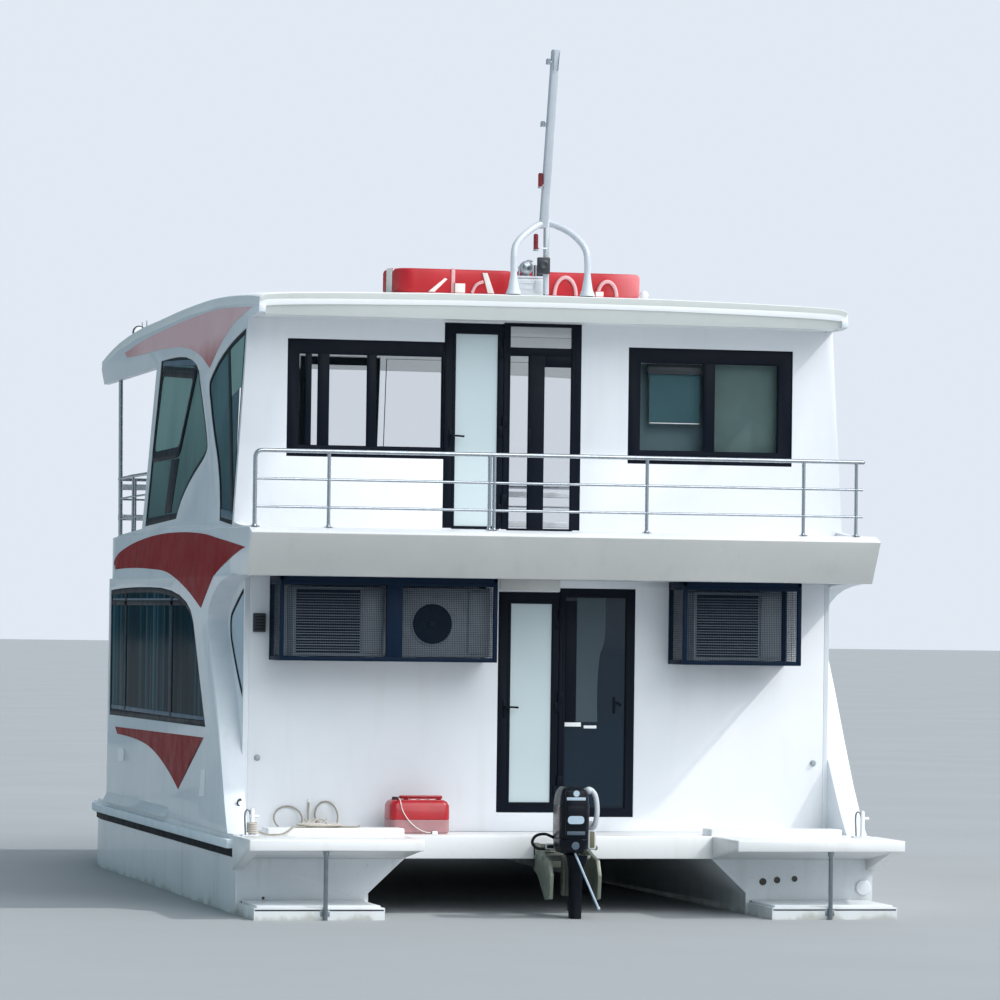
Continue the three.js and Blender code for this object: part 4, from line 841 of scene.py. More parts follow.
PATCH_AFT = {
    "upper": [(1.01, 1.215), (0.76, 1.222)],
    "aft": [(0.76, 1.222), (0.80, 0.980)],
    "lower": [(0.80, 0.980), (1.08, 0.974), (1.07, 1.000), (1.01, 1.215)],
}
SWOOSH_UP = {
    "upper": [(7.22, 5.341), (6.13, 5.404), (5.01, 5.441), (3.81, 5.465), (2.66, 5.478), (1.56, 5.471),
              (0.49, 5.427), (-0.18, 5.392)],
    "aft": [(-0.18, 5.392), (0.31, 5.343), (0.84, 5.273), (1.51, 5.086), (1.88, 4.936)],
    "lower": [(1.88, 4.936), (2.49, 5.088), (3.40, 5.205), (4.31, 5.246), (5.24, 5.263), (6.20, 5.270),
              (7.20, 5.288)],
}


def swoosh_outline(edges):
    line = []
    for part in ("upper", "aft", "lower"):
        points = edges[part]
        run = smooth(points, 6) if len(points) > 2 else points
        line += run[:-1]
    return line


def slab_x(y):
    """Half width of the slab."""
    start, radius = SLAB_ARC
    if y <= start:
        return SLAB_HALF
    return SLAB_HALF - radius + math.sqrt(radius ** 2 - (y - start) ** 2)


def surface_of(*meshes):
    """Finds where a ray meets any of the meshes."""
    points, faces = [], []
    for mesh in meshes:
        start = len(points)
        points += [v.co.copy() for v in mesh.vertices]
        faces += [tuple(i + start for i in p.vertices) for p in mesh.polygons]
    return BVHTree.FromPolygons(points, faces)


OUTBOARD = -4.0  # x from where rays look at the port side
LONGEST = 0.12  # no edge of a film stays longer than this
SEAMS = (SLAB_LOW - 0.012, SLAB_LOW, (SLAB_LOW + SLAB_TOP) / 2 - 0.014)


def film_sheet(edges):
    """A flat sheet at x = 0, cut at the slab's seams into small faces."""
    bm = bmesh.new()
    face = bm.faces.new([bm.verts.new((0, y, z)) for y, z in swoosh_outline(edges)])
    bmesh.ops.triangulate(bm, faces=[face])
    for seam in SEAMS:
        bmesh.ops.bisect_plane(bm, geom=bm.verts[:] + bm.edges[:] + bm.faces[:], plane_co=(0, 0, seam),
                               plane_no=(0, 0, 1))
    bmesh.ops.triangulate(bm, faces=bm.faces[:])
    for _ in range(4):
        long = [e for e in bm.edges if e.calc_length() > LONGEST]
        bmesh.ops.subdivide_edges(bm, edges=long, cuts=1)
        bmesh.ops.triangulate(bm, faces=bm.faces[:])
    return bm


def film(name, edges, surface, finish):
    """A piece of film on the port face of a surface, and its mirror image."""
    bm = film_sheet(edges)
    for v in bm.verts:
        start = Vector((OUTBOARD, v.co.y, v.co.z))
        met = surface.ray_cast(start, Vector((1, 0, 0)))[0]
        if met is None or met.x > -WALL_HALF + 0.1:
            met = surface.find_nearest(start)[0]
        v.co.x = met.x - 2 * FILM
    bmesh.ops.recalc_face_normals(bm, faces=bm.faces[:])
    grown = bmesh.ops.extrude_face_region(bm, geom=bm.faces[:])["geom"]
    for v in (g for g in grown if isinstance(g, bmesh.types.BMVert)):
        v.co.x += FILM
    bmesh.ops.recalc_face_normals(bm, faces=bm.faces[:])
    piece = Shape(bm).done(f"{name}_port", BOAT, "gelcoat", finish)
    mirrored(piece, f"{name}_starboard")


def slab_fairings():
    """Carries each shell's face on up the slab's side, so that the side is one surface."""
    s = Shape()
    low, high = SLAB_LOW - 0.012, SLAB_TOP - 0.016
    # Where it starts to stand out and over what length, and where it starts to come back and over what length
    swell, full, ebb, end = -0.02, 0.72, 6.4, 0.8
    rows = []
    for y in [swell + 0.12 * i for i in range(7)] + [0.95 + 0.29 * i for i in range(21)]:
        share = min(1.0, max(0.0, (y - swell) / full))
        share = share * share * (3 - 2 * share) * (1 - max(0.0, y - ebb) / end)
        out = SHELL_LAP + (BEAM_HALF - SLAB_HALF) * share
        skin = slab_x(y)
        rows.append([(-skin + 0.004, y, low), (-skin - out, y, low), (-skin - out, y, SLAB_LOW),
                     (-skin - 0.4 * out, y, (low + high) / 2), (-skin - SHELL_LAP * 0.5, y, high),
                     (-skin + 0.004, y, high)])
    s.loft(rows)
    port = s.done("slab_fairing_port", BOAT, "gelcoat", SIDE_WHITE, angle=50)
    mirrored(port, "slab_fairing_starboard")
    return port


def swooshes():
    port = slab_fairings()
    side = surface_of(NODES["side_shell_port"].data, NODES["upper_deck"].data, port.data)
    film("swoosh_side", SWOOSH_MID, side, SWOOSH_RED)
    shell = surface_of(NODES["side_shell_port"].data)
    film("swoosh_lower", SWOOSH_LOW, shell, SWOOSH_RED)
    film("pale_patch_fore", PATCH_FORE, shell, ROOF_WHITE)
    film("pale_patch_aft", PATCH_AFT, shell, ROOF_WHITE)
    film("swoosh_roof_side", SWOOSH_UP, surface_of(NODES["side_panel_upper_port"].data), SWOOSH_FADED)


# Windows

def pane_unit(s, hole, shown, at, depth, bars=()):
    """A framed stern window in the (x, z) plane: frame, raised bead, gasket, bars and glass.

    The hole and the shown glass are (x0, x1, z0, z1). Paints: 0 the profile, 1 the gasket, 2 the glass.
    """
    outer, pane = inset(rect(*hole), FRAME_GAP), rect(*shown)
    s.paint = 0
    s.ring("y", outer, pane, at, at + depth, 0.004)
    s.ring("y", inset(outer, 0.002), inset(outer, 0.010), at - 0.006, at, 0.002)
    for u0, u1, v0, v1 in bars:
        s.prism("y", rect(u0, u1, v0, v1), at + 0.004, at + depth - 0.004, 0.004)
    s.paint = 1
    s.ring("y", inset(pane, -0.004), inset(pane, 0.008), at + 0.010, at + depth - 0.010, 0.002)
    s.paint = 2
    s.prism("y", inset(pane, -0.006), at + depth / 2 - 0.003, at + depth / 2 + 0.003)


LOWER_WINDOW = curve([
    (6.690, 1.590), (0.840, 1.607), (1.280, 2.130, 1.620, 2.570),
    (1.900, 2.893, 4.200, 2.893), (5.600, 2.902, 6.690, 2.870),
], 8)
QUARTER_WINDOW = curve([
    (0.052, 2.872), (0.052, 1.880), (0.400, 2.110, 0.690, 2.400),
    (0.790, 2.560, 0.690, 2.650), (0.440, 2.760, 0.100, 2.872),
], 6)
AFT_WINDOW = curve([
    (0.075, 5.215), (0.080, 3.440), (0.770, 3.490), (0.850, 3.850, 1.220, 4.148),
    (1.540, 4.390, 1.750, 4.631), (1.880, 4.730, 1.850, 4.810), (1.360, 5.080, 0.075, 5.215),
], 8)
FWD_WINDOW = curve([
    (5.050, 3.500), (3.190, 3.545), (2.960, 3.800, 2.040, 4.032), (1.660, 4.130, 1.690, 4.200),
    (1.760, 4.330, 2.390, 4.846), (2.520, 5.135, 4.260, 5.138), (4.780, 5.140),
], 8)


def side_window(name, hole, at, rim, bars, pane, leaning=False, extra=None):
    """A pane that lies almost flush in the side, with a thin rim and bars, mirrored to starboard."""
    s = Shape()
    outer = inset(hole, FRAME_GAP)
    s.ring("x", outer, inset(hole, rim), at, at + 0.036, 0.003)
    for bar in bars:
        s.prism("x", bar, at + 0.002, at + 0.034, 0.003)
    if extra:
        extra(s, at)
    s.paint = 1
    s.ring("x", inset(hole, rim - 0.002), inset(hole, rim + 0.008), at + 0.004, at + 0.014, 0.002)
    s.paint = 2
    s.prism("x", pane_outline(hole, rim - 0.008), at + 0.008, at + 0.014)
    if leaning:
        s.lean()
    piece = s.done(f"{name}_port_unit", BOAT, "dark_glazing", ALUMINIUM, RUBBER, pane, BLUE_GREY_AND_HIGHLIGHT,
                   SASH_GLASS, replaces=(f"{name}_port",))
    mirrored(piece, f"{name}_starboard_unit", (f"{name}_starboard",))


def awning_sash(s, at):
    """The opening sash in the forward window, and the light under it with its post."""
    corners = [(4.71, 5.085), (2.58, 4.965), (3.30, 4.145), (4.95, 4.135)]

    def line(by, radius):
        return round_outline(inset(corners, by), radius)

    s.ring("x", line(0, 0.16), line(0.100, 0.09), at - 0.004, at + 0.030, 0.004)
    s.ring("x", line(0.020, 0.15), line(0.045, 0.13), at - 0.009, at, 0.003)
    s.prism("x", [(3.32, 4.13), (3.76, 4.13), (3.94, 3.61), (3.58, 3.61)], at + 0.002, at + 0.030, 0.003)
    s.prism("x", [(3.28, 3.60), (5.18, 3.58), (5.22, 3.50), (3.20, 3.545)], at + 0.001, at + 0.030, 0.003)
    # The top frame piece in paler blue-grey, as a painted highlight.
    s.paint = 3
    s.prism("x", [(2.52, 5.055), (4.62, 5.130), (4.68, 5.085), (2.45, 4.985)], at - 0.003, at + 0.020, 0.003)
    s.paint = 4
    s.prism("x", line(0.095, 0.09), at + 0.004, at + 0.0079)


def side_windows():
    lower_bars = [rect(1.10, 6.64, 2.715, 2.760), rect(2.85, 2.97, 1.66, 2.86), rect(5.68, 5.80, 1.66, 2.86)]
    side_window("side_window_lower", LOWER_WINDOW, -BEAM_HALF + 0.006, 0.050, lower_bars, SIDE_GLASS,
                extra=lower_sill)
    side_window("quarter_window", QUARTER_WINDOW, -WALL_HALF + 0.002, 0.022, [], QUARTER_REFLECTION)
    side_window("side_window_aft", AFT_WINDOW, -UPPER_HALF + 0.004, 0.030, [], AFT_GLASS, True, aft_sill)
    side_window("side_window_forward", FWD_WINDOW, -UPPER_HALF + 0.004, 0.050, [], UPPER_GLASS, True,
                awning_sash)


def lower_sill(s, at):
    """The paler foot and head of the lower window's inner frame: their own blue-grey, with painted highlight.
    """
    s.paint = 3
    s.prism("x", rect(1.02, 6.62, 1.655, 1.700), at + 0.004, at + 0.024, 0.003)
    s.prism("x", rect(1.62, 6.62, 2.762, 2.786), at + 0.004, at + 0.022, 0.003)
    s.paint = 0


def aft_sill(s, at):
    """The paler bottom frame of the aft window: its own blue-grey, with painted highlight."""
    s.paint = 3
    s.prism("x", [(0.11, 3.475), (0.74, 3.520), (0.77, 3.600), (0.11, 3.560)], at + 0.002, at + 0.022, 0.003)
    s.paint = 4
    s.prism("x", [(0.86, 5.055), (0.13, 5.165), (0.11, 4.700), (0.62, 4.620)], at + 0.004, at + 0.008)
    s.paint = 0
    s.prism("x", [(1.00, 5.060), (0.87, 5.075), (0.10, 3.540), (0.22, 3.540)], at + 0.002, at + 0.022, 0.003)


# Blinds inside the glass

def blind(name, x0, x1, z0, z1, finish, box_finish, bar_finish, deep=0.0):
    """A roller blind behind a stern window: the roll's box, the cloth, and its bottom bar."""
    s = Shape()
    s.box((x0 - 0.02, 0.075 + deep, z1), (x1 + 0.02, 0.135 + deep, z1 + 0.075), 0.006)
    s.paint = 1
    s.box((x0, 0.094 + deep, z0 - 0.016), (x1, 0.112 + deep, z0), 0.004)
    box = s.done(f"{name}_box", BOAT, "gelcoat", box_finish, bar_finish)
    s = Shape()
    y = 0.103 + deep
    corners = [s.bm.verts.new(p) for p in ((x0, y, z0), (x1, y, z0), (x1, y, z1), (x0, y, z1))]
    s.bm.faces.new(corners)
    bmesh.ops.subdivide_edges(s.bm, edges=s.bm.edges[:], cuts=8, use_grid_fill=True)
    cloth = s.done(f"{name}_cloth", BOAT, "rope", finish)


def blinds():
    blind("blind_starboard_right", 1.590, 2.240, 4.140, 4.990, BLIND, WHITE, WHITE)
    blind("blind_starboard_left", 1.020, 1.500, 4.450, 4.890, DARK_BLIND, DARK_FITTING, ROOF_WHITE)
    blind("blind_starboard_back", 0.880, 1.560, 4.140, 4.990, GREY_BLIND, WHITE, WHITE, deep=0.10)


STERN_WINDOWS = {
    # hole, then the shown glass, both x0, x1, z0, z1; then each post's x0, x1
    "port": ((-2.375, -0.931, 4.067, 5.128), (-2.270, -0.945, 4.165, 5.000),
             [(-2.085, -1.995), (-1.634, -1.560)]),
    "starboard": ((0.795, 2.357, 4.062, 5.125), (0.905, 2.225, 4.180, 4.995),
                  [(1.520, 1.612)]),
}


def stern_windows():
    for side, (hole, shown, posts) in STERN_WINDOWS.items():
        s = Shape()
        x0, x1, z0, z1 = shown
        pane_unit(s, hole, shown, 0.004, 0.042, [(a, b, z0 - 0.002, z1 + 0.002) for a, b in posts])
        stops = [x0, *[x for pair in posts for x in pair], x1]
        s.paint = 0
        for a, b in zip(stops[::2], stops[1::2]):
            sash = rect(a, b, z0, z1)
            s.ring("y", inset(sash, -0.004), inset(sash, 0.008), 0.012, 0.034, 0.002)
        if side == "port":
            s.box((-2.205, 0.012, z0), (-2.150, 0.040, z1), 0.003)
        s.done(f"stern_window_{side}_unit", BOAT, "dark_glazing", ALUMINIUM, RUBBER, CLEAR_GLASS,
               replaces=(f"stern_window_{side}",))


# Doors

def knuckles(s, hinge, on_leaf):
    """Three hinge knuckles: the lower half of each is the leaf's, the upper half the boat's."""
    x, z0, z1 = hinge
    y, long, reach = KNUCKLE["y"], KNUCKLE["long"], KNUCKLE["reach"]
    for part in (0.12, 0.5, 0.88):
        middle = z0 + part * (z1 - z0)
        low, high = (middle - long, middle) if on_leaf else (middle + REST, middle + long)
        a, b = (x - reach, x) if on_leaf else (x, x + reach)
        s.tube([(x, y, low), (x, y, high)], KNUCKLE["radius"], 16)
        s.box((a, y - 0.002, low), (b, 0.003, high), 0.001)


def lever(s, x, z):
    """A handle on its plate, with a keyhole under it."""
    s.box((x - 0.016, -0.010, z - 0.095), (x + 0.016, 0.004, z + 0.060), 0.004)
    s.tube([(x, 0, z), (x, -0.045, z)], 0.010, 14)
    grip = [(x, -0.040, z), (x, -0.055, z), (x + 0.060, -0.056, z), (x + 0.118, -0.050, z - 0.004)]
    s.tube(round_corners(grip, 0.012, 4), 0.009, 12)
    s.disc(0.011, 0.006, (x, -0.015, z - 0.055), (0, 1, 0), 16)


def leaf(s, low, high, pane, thick):
    """A leaf or light in the y = 0 plane: frame, bead, gasket and glass.

    low and high are its (x, z) corners, and pane is the glass that shows: (x0, x1, z0, z1).
    """
    outer = rect(low[0], high[0], low[1], high[1])
    shown = rect(*pane)
    s.paint = 0
    s.ring("y", outer, shown, 0.0, thick, 0.003)
    s.ring("y", inset(shown, -0.022), inset(shown, 0.0), -0.004, 0.004, 0.002)
    s.paint = 1
    s.ring("y", inset(shown, -0.006), inset(shown, 0.006), thick * 0.5 - 0.012, thick * 0.5 + 0.012, 0.001)
    s.paint = 2
    x0, x1, z0, z1 = pane
    s.box((x0 - 0.01, thick * 0.5 - 0.004, z0 - 0.01), (x1 + 0.01, thick * 0.5 + 0.004, z1 + 0.01))
    s.paint = 0


def stern_doors():
    s = Shape()
    leaf(s, (-0.390, 0.878), (0.170, 2.872), (-0.282, 0.110, 0.961, 2.774), 0.040)
    lever(s, -0.330, 1.830)
    knuckles(s, LOWER_HINGE, True)
    s.done("stern_door_lower_leaf", "lower stern door", "dark_glazing", ALUMINIUM, RUBBER, FROSTED,
           replaces=("stern_door_lower",))
    lower_light()
    s = Shape()
    leaf(s, (-0.926, 3.446), (-0.382, 5.306), (-0.827, -0.427, 3.460, 5.214), 0.040)
    lever(s, -0.866, 4.280)
    knuckles(s, UPPER_HINGE, True)
    s.done("stern_door_upper_leaf", "upper stern door", "dark_glazing", ALUMINIUM, RUBBER, FROSTED,
           replaces=("stern_door_upper",))
    upper_light()


def lower_light():
    """The fixed light beside the lower door: a dark pane with a grey film, a latch and two pale tabs."""
    s = Shape()
    leaf(s, (0.176, 0.836), (0.886, 2.914), (0.232, 0.806, 0.916, 2.836), 0.050)
    s.box((0.236, 0.008, 1.700), (0.338, 0.0205, 2.80), 0.002)
    s.box((0.690, 0.006, 1.78), (0.712, 0.014, 1.93), 0.003)
    s.tube([(0.700, 0.008, 1.880), (0.700, -0.006, 1.880), (0.730, -0.006, 1.880), (0.765, -0.004, 1.850)],
           0.008, 10)
    knuckles(s, LOWER_HINGE, False)
    s.paint = 3
    edge = curve([(0.343, 2.834), (0.343, 1.700), (0.545, 1.700), (0.530, 2.10, 0.565, 2.33),
                  (0.612, 2.40, 0.612, 2.60), (0.612, 2.834)], 6)
    s.prism("y", edge, 0.0195, 0.0207)
    s.paint = 4
    s.box((0.232, 0.017, 1.656), (0.392, 0.0205, 1.695), 0.001)
    s.box((0.417, 0.017, 1.640), (0.538, 0.0205, 1.668), 0.001)
    s.done("stern_light_lower_unit", BOAT, "dark_glazing", ALUMINIUM, RUBBER, TINTED_GLASS, LIGHT_FILM,
           ROOF_WHITE, replaces=("stern_light_lower",))


def upper_light():
    """The fixed light beside the upper door: a top light over two panes with a wide post."""
    s = Shape()
    outer = rect(-0.376, 0.350, 3.441, 5.350)
    shown = rect(-0.315, 0.262, 3.452, 5.288)
    s.ring("y", outer, shown, 0.0, 0.050, 0.003)
    s.ring("y", inset(shown, -0.02), shown, -0.004, 0.004, 0.002)
    s.box((-0.320, 0.004, 5.020), (0.267, 0.046, 5.098), 0.003)
    s.box((-0.139, 0.002, 3.450), (0.008, 0.048, 5.025), 0.004)
    s.box((0.006, 0.006, 4.925), (0.267, 0.044, 5.025), 0.003)
    s.box((-0.144, -0.010, 4.20), (-0.118, 0.004, 4.36), 0.003)
    s.paint = 2
    s.box((-0.325, 0.021, 3.446), (0.272, 0.027, 5.296))
    s.paint = 0
    knuckles(s, UPPER_HINGE, False)
    s.done("stern_light_upper_unit", BOAT, "dark_glazing", ALUMINIUM, RUBBER, CLEAR_GLASS,
           replaces=("stern_light_upper",))


def front_glazing():
    """The front doors and screens keep the solids' form; their large upright faces are glass."""
    smallest_pane = 0.25
    for node, bevel in (("front_screen_lower", 0.003), ("front_screen_upper", 0.003),
                        ("front_door_lower", 0.002), ("front_door_upper", 0.002)):
        piece = soften(node, bevel, "dark_glazing", ALUMINIUM, CLEAR_GLASS)
        for polygon in piece.data.polygons:
            if polygon.area > smallest_pane and abs(polygon.normal.x) < 0.2:
                polygon.material_index = 1


# Rails

def flange(s, x, y, z, r):
    """A post's foot: a round plate with two screws."""
    s.lathe([(0, 0), (r * 2.6, 0), (r * 2.6, 0.004), (r * 1.35, 0.007), (r * 1.2, 0.018), (0, 0.018)],
            (x, y, z), sides=20)
    for hand in (-1, 1):
        s.lathe([(0, 0), (0.005, 0), (0.003, 0.003), (0, 0.003)], (x + hand * r * 2, y, z + 0.004), sides=8)


def post(s, x, y, foot, top, r=0.014, sides=12):
    """An upright tube on its flange."""
    s.tube([(x, y, foot), (x, y, top)], r, sides)
    flange(s, x, y, foot, r)


def rails(s, run, rows, corner):
    """Tubes along the (x, y) run; each row is a height and a radius."""
    for z, r in rows:
        s.tube(round_corners([(x, y, z) for x, y in run], corner), r, 14)


def aft_rail():
    s = Shape()
    y, top, mid, low, foot = -0.930, 4.085, 3.835, 3.590, SLAB_TOP
    posts = (-2.165, -0.712, -0.668, 0.735, 2.195, 2.690)
    first, last = -2.826, 2.752
    s.tube(round_corners([(first, y, foot), (first, y, top), (last, y, top)], 0.070), 0.019, 16)
    for z in (mid, low):
        s.tube([(first, y, z), (last, y, z)], 0.012, 12)
    for x in posts:
        post(s, x, y, foot, top, 0.016, 14)
        for z in (mid, low):
            s.ball((x, y, z), 0.0175, 12)
    flange(s, first, y, foot, 0.019)
    s.ball((last, y, top), 0.020, 12)
    s.done("aft_rail_tubes", BOAT, "steel", STEEL, replaces=("aft_rail",))


def balcony_rail():
    """Three rails on posts, two pillars up to the roof, and two white boards across the front."""
    s = Shape()
    foot, top = SLAB_TOP, 4.040
    pillar_x, pillar_y, front_y = 2.700, 7.560, 7.870
    under_roof = 5.0757

    def side_x(y):
        return slab_x(y) - 0.125

    def half(side):
        return [(side * side_x(5.3), 5.3), (side * side_x(6.5), 6.5), (side * pillar_x, pillar_y),
                (side * (pillar_x - 0.02), front_y)]

    rails(s, [*half(-1), *half(1)[::-1]], ((top, 0.017), (top - 0.210, 0.010), (top - 0.420, 0.010)), 0.10)
    for side in (-1, 1):
        head_x = side * (UPPER_HALF - LEAN * (under_roof - LEAN_FROM) - 0.030)
        s.tube([(side * pillar_x, pillar_y, foot), (head_x, pillar_y, under_roof)], 0.023, 16)
        flange(s, side * pillar_x, pillar_y, foot, 0.018)
        for y in (5.3, 6.4):
            post(s, side * side_x(y), y, foot, top)
    for x in (-2.5, -1.25, 0, 1.25, 2.5):
        post(s, x, front_y, foot, top)
    s.paint = 1
    for z in (3.930, 3.610):
        s.box((0.02 - pillar_x, front_y - 0.012, z), (pillar_x - 0.02, front_y + 0.012, z + 0.062), 0.006)
    s.done("balcony_rail_tubes", BOAT, "steel", STEEL, WHITE, replaces=("balcony_rail",))


def bow_rail():
    s = Shape()
    foot, top = DECK_TOP, DECK_TOP + 0.740
    radius, start, bow = 3.4, 7.1, (1.5, 9.98)

    def x_at(y):
        return BEAM_HALF - radius + math.sqrt(radius ** 2 - max(0, y - start) ** 2) - 0.120

    def half(side):
        return [(side * x_at(y), y) for y in (7.2, 8.2, 9.1)] + [(side * bow[0], bow[1])]

    run = [*half(-1), *half(1)[::-1]]
    rails(s, run, ((top, 0.017), (top - 0.370, 0.010)), 0.25)
    for x, y in [*run, (0, bow[1])]:
        post(s, x, y, foot, top)
    s.done("bow_rail_tubes", BOAT, "steel", STEEL, replaces=("bow_rail",))


# Roof

# The edge's height at each y, and the crown's rise over it at each half width
ROOF_EDGE = [(-0.500, 5.450), (0.060, 5.492), (1.660, 5.561), (3.300, 5.570), (5.100, 5.543),
             (6.370, 5.520), (7.660, 5.452), (8.320, 5.384), (8.800, 5.318)]
ROOF_LINE = smooth(ROOF_EDGE, 8)
CROWN = [(0.0, 0.090), (1.0, 0.086), (1.9, 0.070), (2.400, 0.056), (2.620, 0.044), (2.690, 0.034),
         (2.720, 0.018), (2.740, 0.0)]
# Half widths at which the roof is drawn: even ones, then closer where the crown rounds off
ROOF_STEPS = [0.25 * i for i in range(9)] + [2.300, 2.480, 2.590, 2.650, 2.685, 2.706]


def along(rows, at):
    """The height at a place along rows of (place, height)."""
    for (a, za), (b, zb) in zip(rows, rows[1:]):
        if at <= b:
            return za + (zb - za) * (at - a) / (b - a)
    return rows[-1][1]


def roof_z(x, y):
    return along(ROOF_LINE, y) + along(CROWN, abs(x))


def roof_half(y):
    """The roof's edge is flush with the leaning side panels."""
    return UPPER_HALF - LEAN * (along(ROOF_LINE, y) - 0.5 * ROOF_SHEET - LEAN_FROM)


def roof_xs(half):
    """Places across the roof, from port to starboard."""
    right = [*ROOF_STEPS, half - 0.004, half]
    return [-x for x in reversed(right[1:])] + right


def roof_sheet(s):
    """The crowned sheet."""
    sections = []
    for y in [ROOF_AFT + 0.014, ROOF_AFT + 0.04] + [ROOF_AFT + 0.15 * i for i in range(1, 62)] + [ROOF_FRONT]:
        xs = roof_xs(roof_half(y))
        top = [(x, y, roof_z(x, y)) for x in xs]
        under = [(x, y, along(ROOF_LINE, y) + max(0.0, roof_z(x, y) - roof_z(2.65, y)) - ROOF_SHEET)
                 for x in reversed(xs)]
        sections.append(top + under)
    s.loft(sections, 0.003)


def roof_fascia(s):
    """The fascia under the sheet's aft lip, which leans in to its foot, with its two ends and its floor."""
    foot = CABIN_TOP + 0.003
    wide = UPPER_HALF - LEAN * (CABIN_TOP - LEAN_FROM) - 0.072
    half = roof_half(ROOF_AFT) - 0.001
    aft, lean_in, thick, lip, deep = ROOF_AFT - 0.004, 0.074, 0.030, 0.004, 0.045
    rows = []
    for x in roof_xs(half):
        head, low_x = roof_z(x, ROOF_AFT) - 0.001, x * wide / half
        rows.append([(x, aft, head), (x, aft, head - lip), (low_x, aft + lean_in, foot),
                     (low_x, aft + lean_in + thick, foot), (x, aft + deep, head - lip),
                     (x, aft + deep, head)])
    # The fascia takes the greyer gelcoat: painted shade.
    s.paint = 1
    s.loft(rows, 0.002)
    s.paint = 0
    for side in (-1, 1):
        a, b = sorted((side * (wide - 0.190), side * wide))
        s.box((a, ROOF_AFT + lean_in + 0.005, foot), (b, -REST, 5.400), 0.010)
    s.box((-wide + 0.19, ROOF_AFT + lean_in + 0.01, foot + 0.006), (wide - 0.19, -REST, foot + 0.020))


def roof():
    s = Shape()
    roof_sheet(s)
    roof_fascia(s)
    piece = s.done("roof_shell", BOAT, "gelcoat", ROOF_WHITE, FASCIA_PAINTED_SHADE, replaces=("roof",))
    # Fascia faces that turn up go back to white; the rest keep the painted shade.
    for polygon in piece.data.polygons:
        if polygon.material_index == 1 and polygon.normal.z > 0.3:
            polygon.material_index = 0


# Cages and coolers

def grille(s, axis, at, u0, u1, v0, v1, pitch, wire):
    """A sheet of crossed wires in the plane across the axis."""
    for a0, a1, b0, b1, upright in ((u0, u1, v0, v1, True), (v0, v1, u0, u1, False)):
        count = int((a1 - a0) / pitch)
        for i in range(1, count):
            m = a0 + (a1 - a0) * i / count
            spans = (m - wire / 2, m + wire / 2, b0, b1) if upright else (b0, b1, m - wire / 2, m + wire / 2)
            depth = wire / 2 if upright else -wire / 2
            s.prism(axis, rect(*spans), at + min(0, depth), at + max(0, depth))


MESH = (0.016, 0.0030)  # pitch and wire of a cage's upright sheets
FLOOR_MESH = (0.024, 0.004)


def cage(name, x0, x1, post=None):
    """Bars round a box under the slab, a sheet on top, and mesh in front, at the ends and below."""
    s = Shape()
    top, bar, slack = SLAB_LOW - REST, 0.038, 0.002
    low, high = CAGE_LOW + bar, top - 2 * bar
    stops = [x0, *(post or ()), x1]
    for x in (x0, x1 - bar):
        for y in (CAGE_Y, -bar):
            s.box((x, y, CAGE_LOW), (x + bar, y + bar, top), 0.004)
    for y in (CAGE_Y, -bar):
        for z in (CAGE_LOW, high):
            s.box((x0 + bar, y + slack, z), (x1 - bar, y + bar - slack, z + bar), 0.004)
    if post:
        s.box((post[0] - 0.030, CAGE_Y + 0.001, low), (post[1] + 0.075, CAGE_Y + bar, high), 0.004)
    for x in (x0, x1 - bar):
        for z in (CAGE_LOW, high):
            s.box((x + slack, CAGE_Y + bar, z), (x + bar - slack, -bar, z + bar), 0.004)
    s.box((x0, CAGE_Y, top - bar), (x1, -REST, top), 0.004)
    for a, b in zip(stops[::2], stops[1::2]):
        grille(s, "y", CAGE_Y + 0.016, a + bar, b - bar, low, high, *MESH)
    for x in (x0 + 0.010, x1 - 0.010):
        grille(s, "x", x, CAGE_Y + bar, -bar, low, high, *MESH)
    grille(s, "z", CAGE_LOW + 0.010, x0 + bar, x1 - bar, CAGE_Y + bar, -bar, *FLOOR_MESH)
    s.done(f"{name}_mesh", BOAT, "cage", CAGE_PAINT, replaces=(name,))


def fan_grille(s, x, y, z, r):
    """Three blades on a dark disc, behind rings and spokes."""
    s.paint = 1
    s.disc(r, 0.004, (x, y + 0.012, z), (0, -1, 0), 40)
    for i in range(3):
        a = i * 2 * math.pi / 3
        blade = [(x + 0.03 * math.cos(a), z + 0.03 * math.sin(a))]
        blade += [(x + r * 0.86 * math.cos(a + t), z + r * 0.86 * math.sin(a + t)) for t in (-0.1, 0.35, 0.8)]
        s.prism("y", blade, y - 0.002, y + 0.004)
    for k in range(1, 10):
        s.tube([(x + u, y - 0.008, z + v) for u, v in circle(r * k / 9, 40)], 0.0020, 6, closed=True)
    for u, v in circle(r, 8):
        s.tube([(x, y - 0.010, z), (x + u, y - 0.010, z + v)], 0.002, 6)
    s.lathe([(0, 0), (0.035, 0), (0.030, 0.008), (0, 0.010)], (x, y - 0.006, z), (0, -1, 0), 20)
    s.paint = 0


def louvres(s, x0, x1, y, z0, z1, count=22):
    """Slanted slats over a dark opening."""
    s.paint = 1
    s.box((x0, y + 0.012, z0 + 0.06), (x1, y + 0.020, z1 - 0.03))
    s.paint = 0
    for i in range(count):
        z = z0 + 0.075 + (z1 - z0 - 0.12) * i / count
        s.prism("x", [(y + 0.014, z + 0.012), (y + 0.004, z), (y + 0.008, z), (y + 0.018, z + 0.012)], x0, x1)


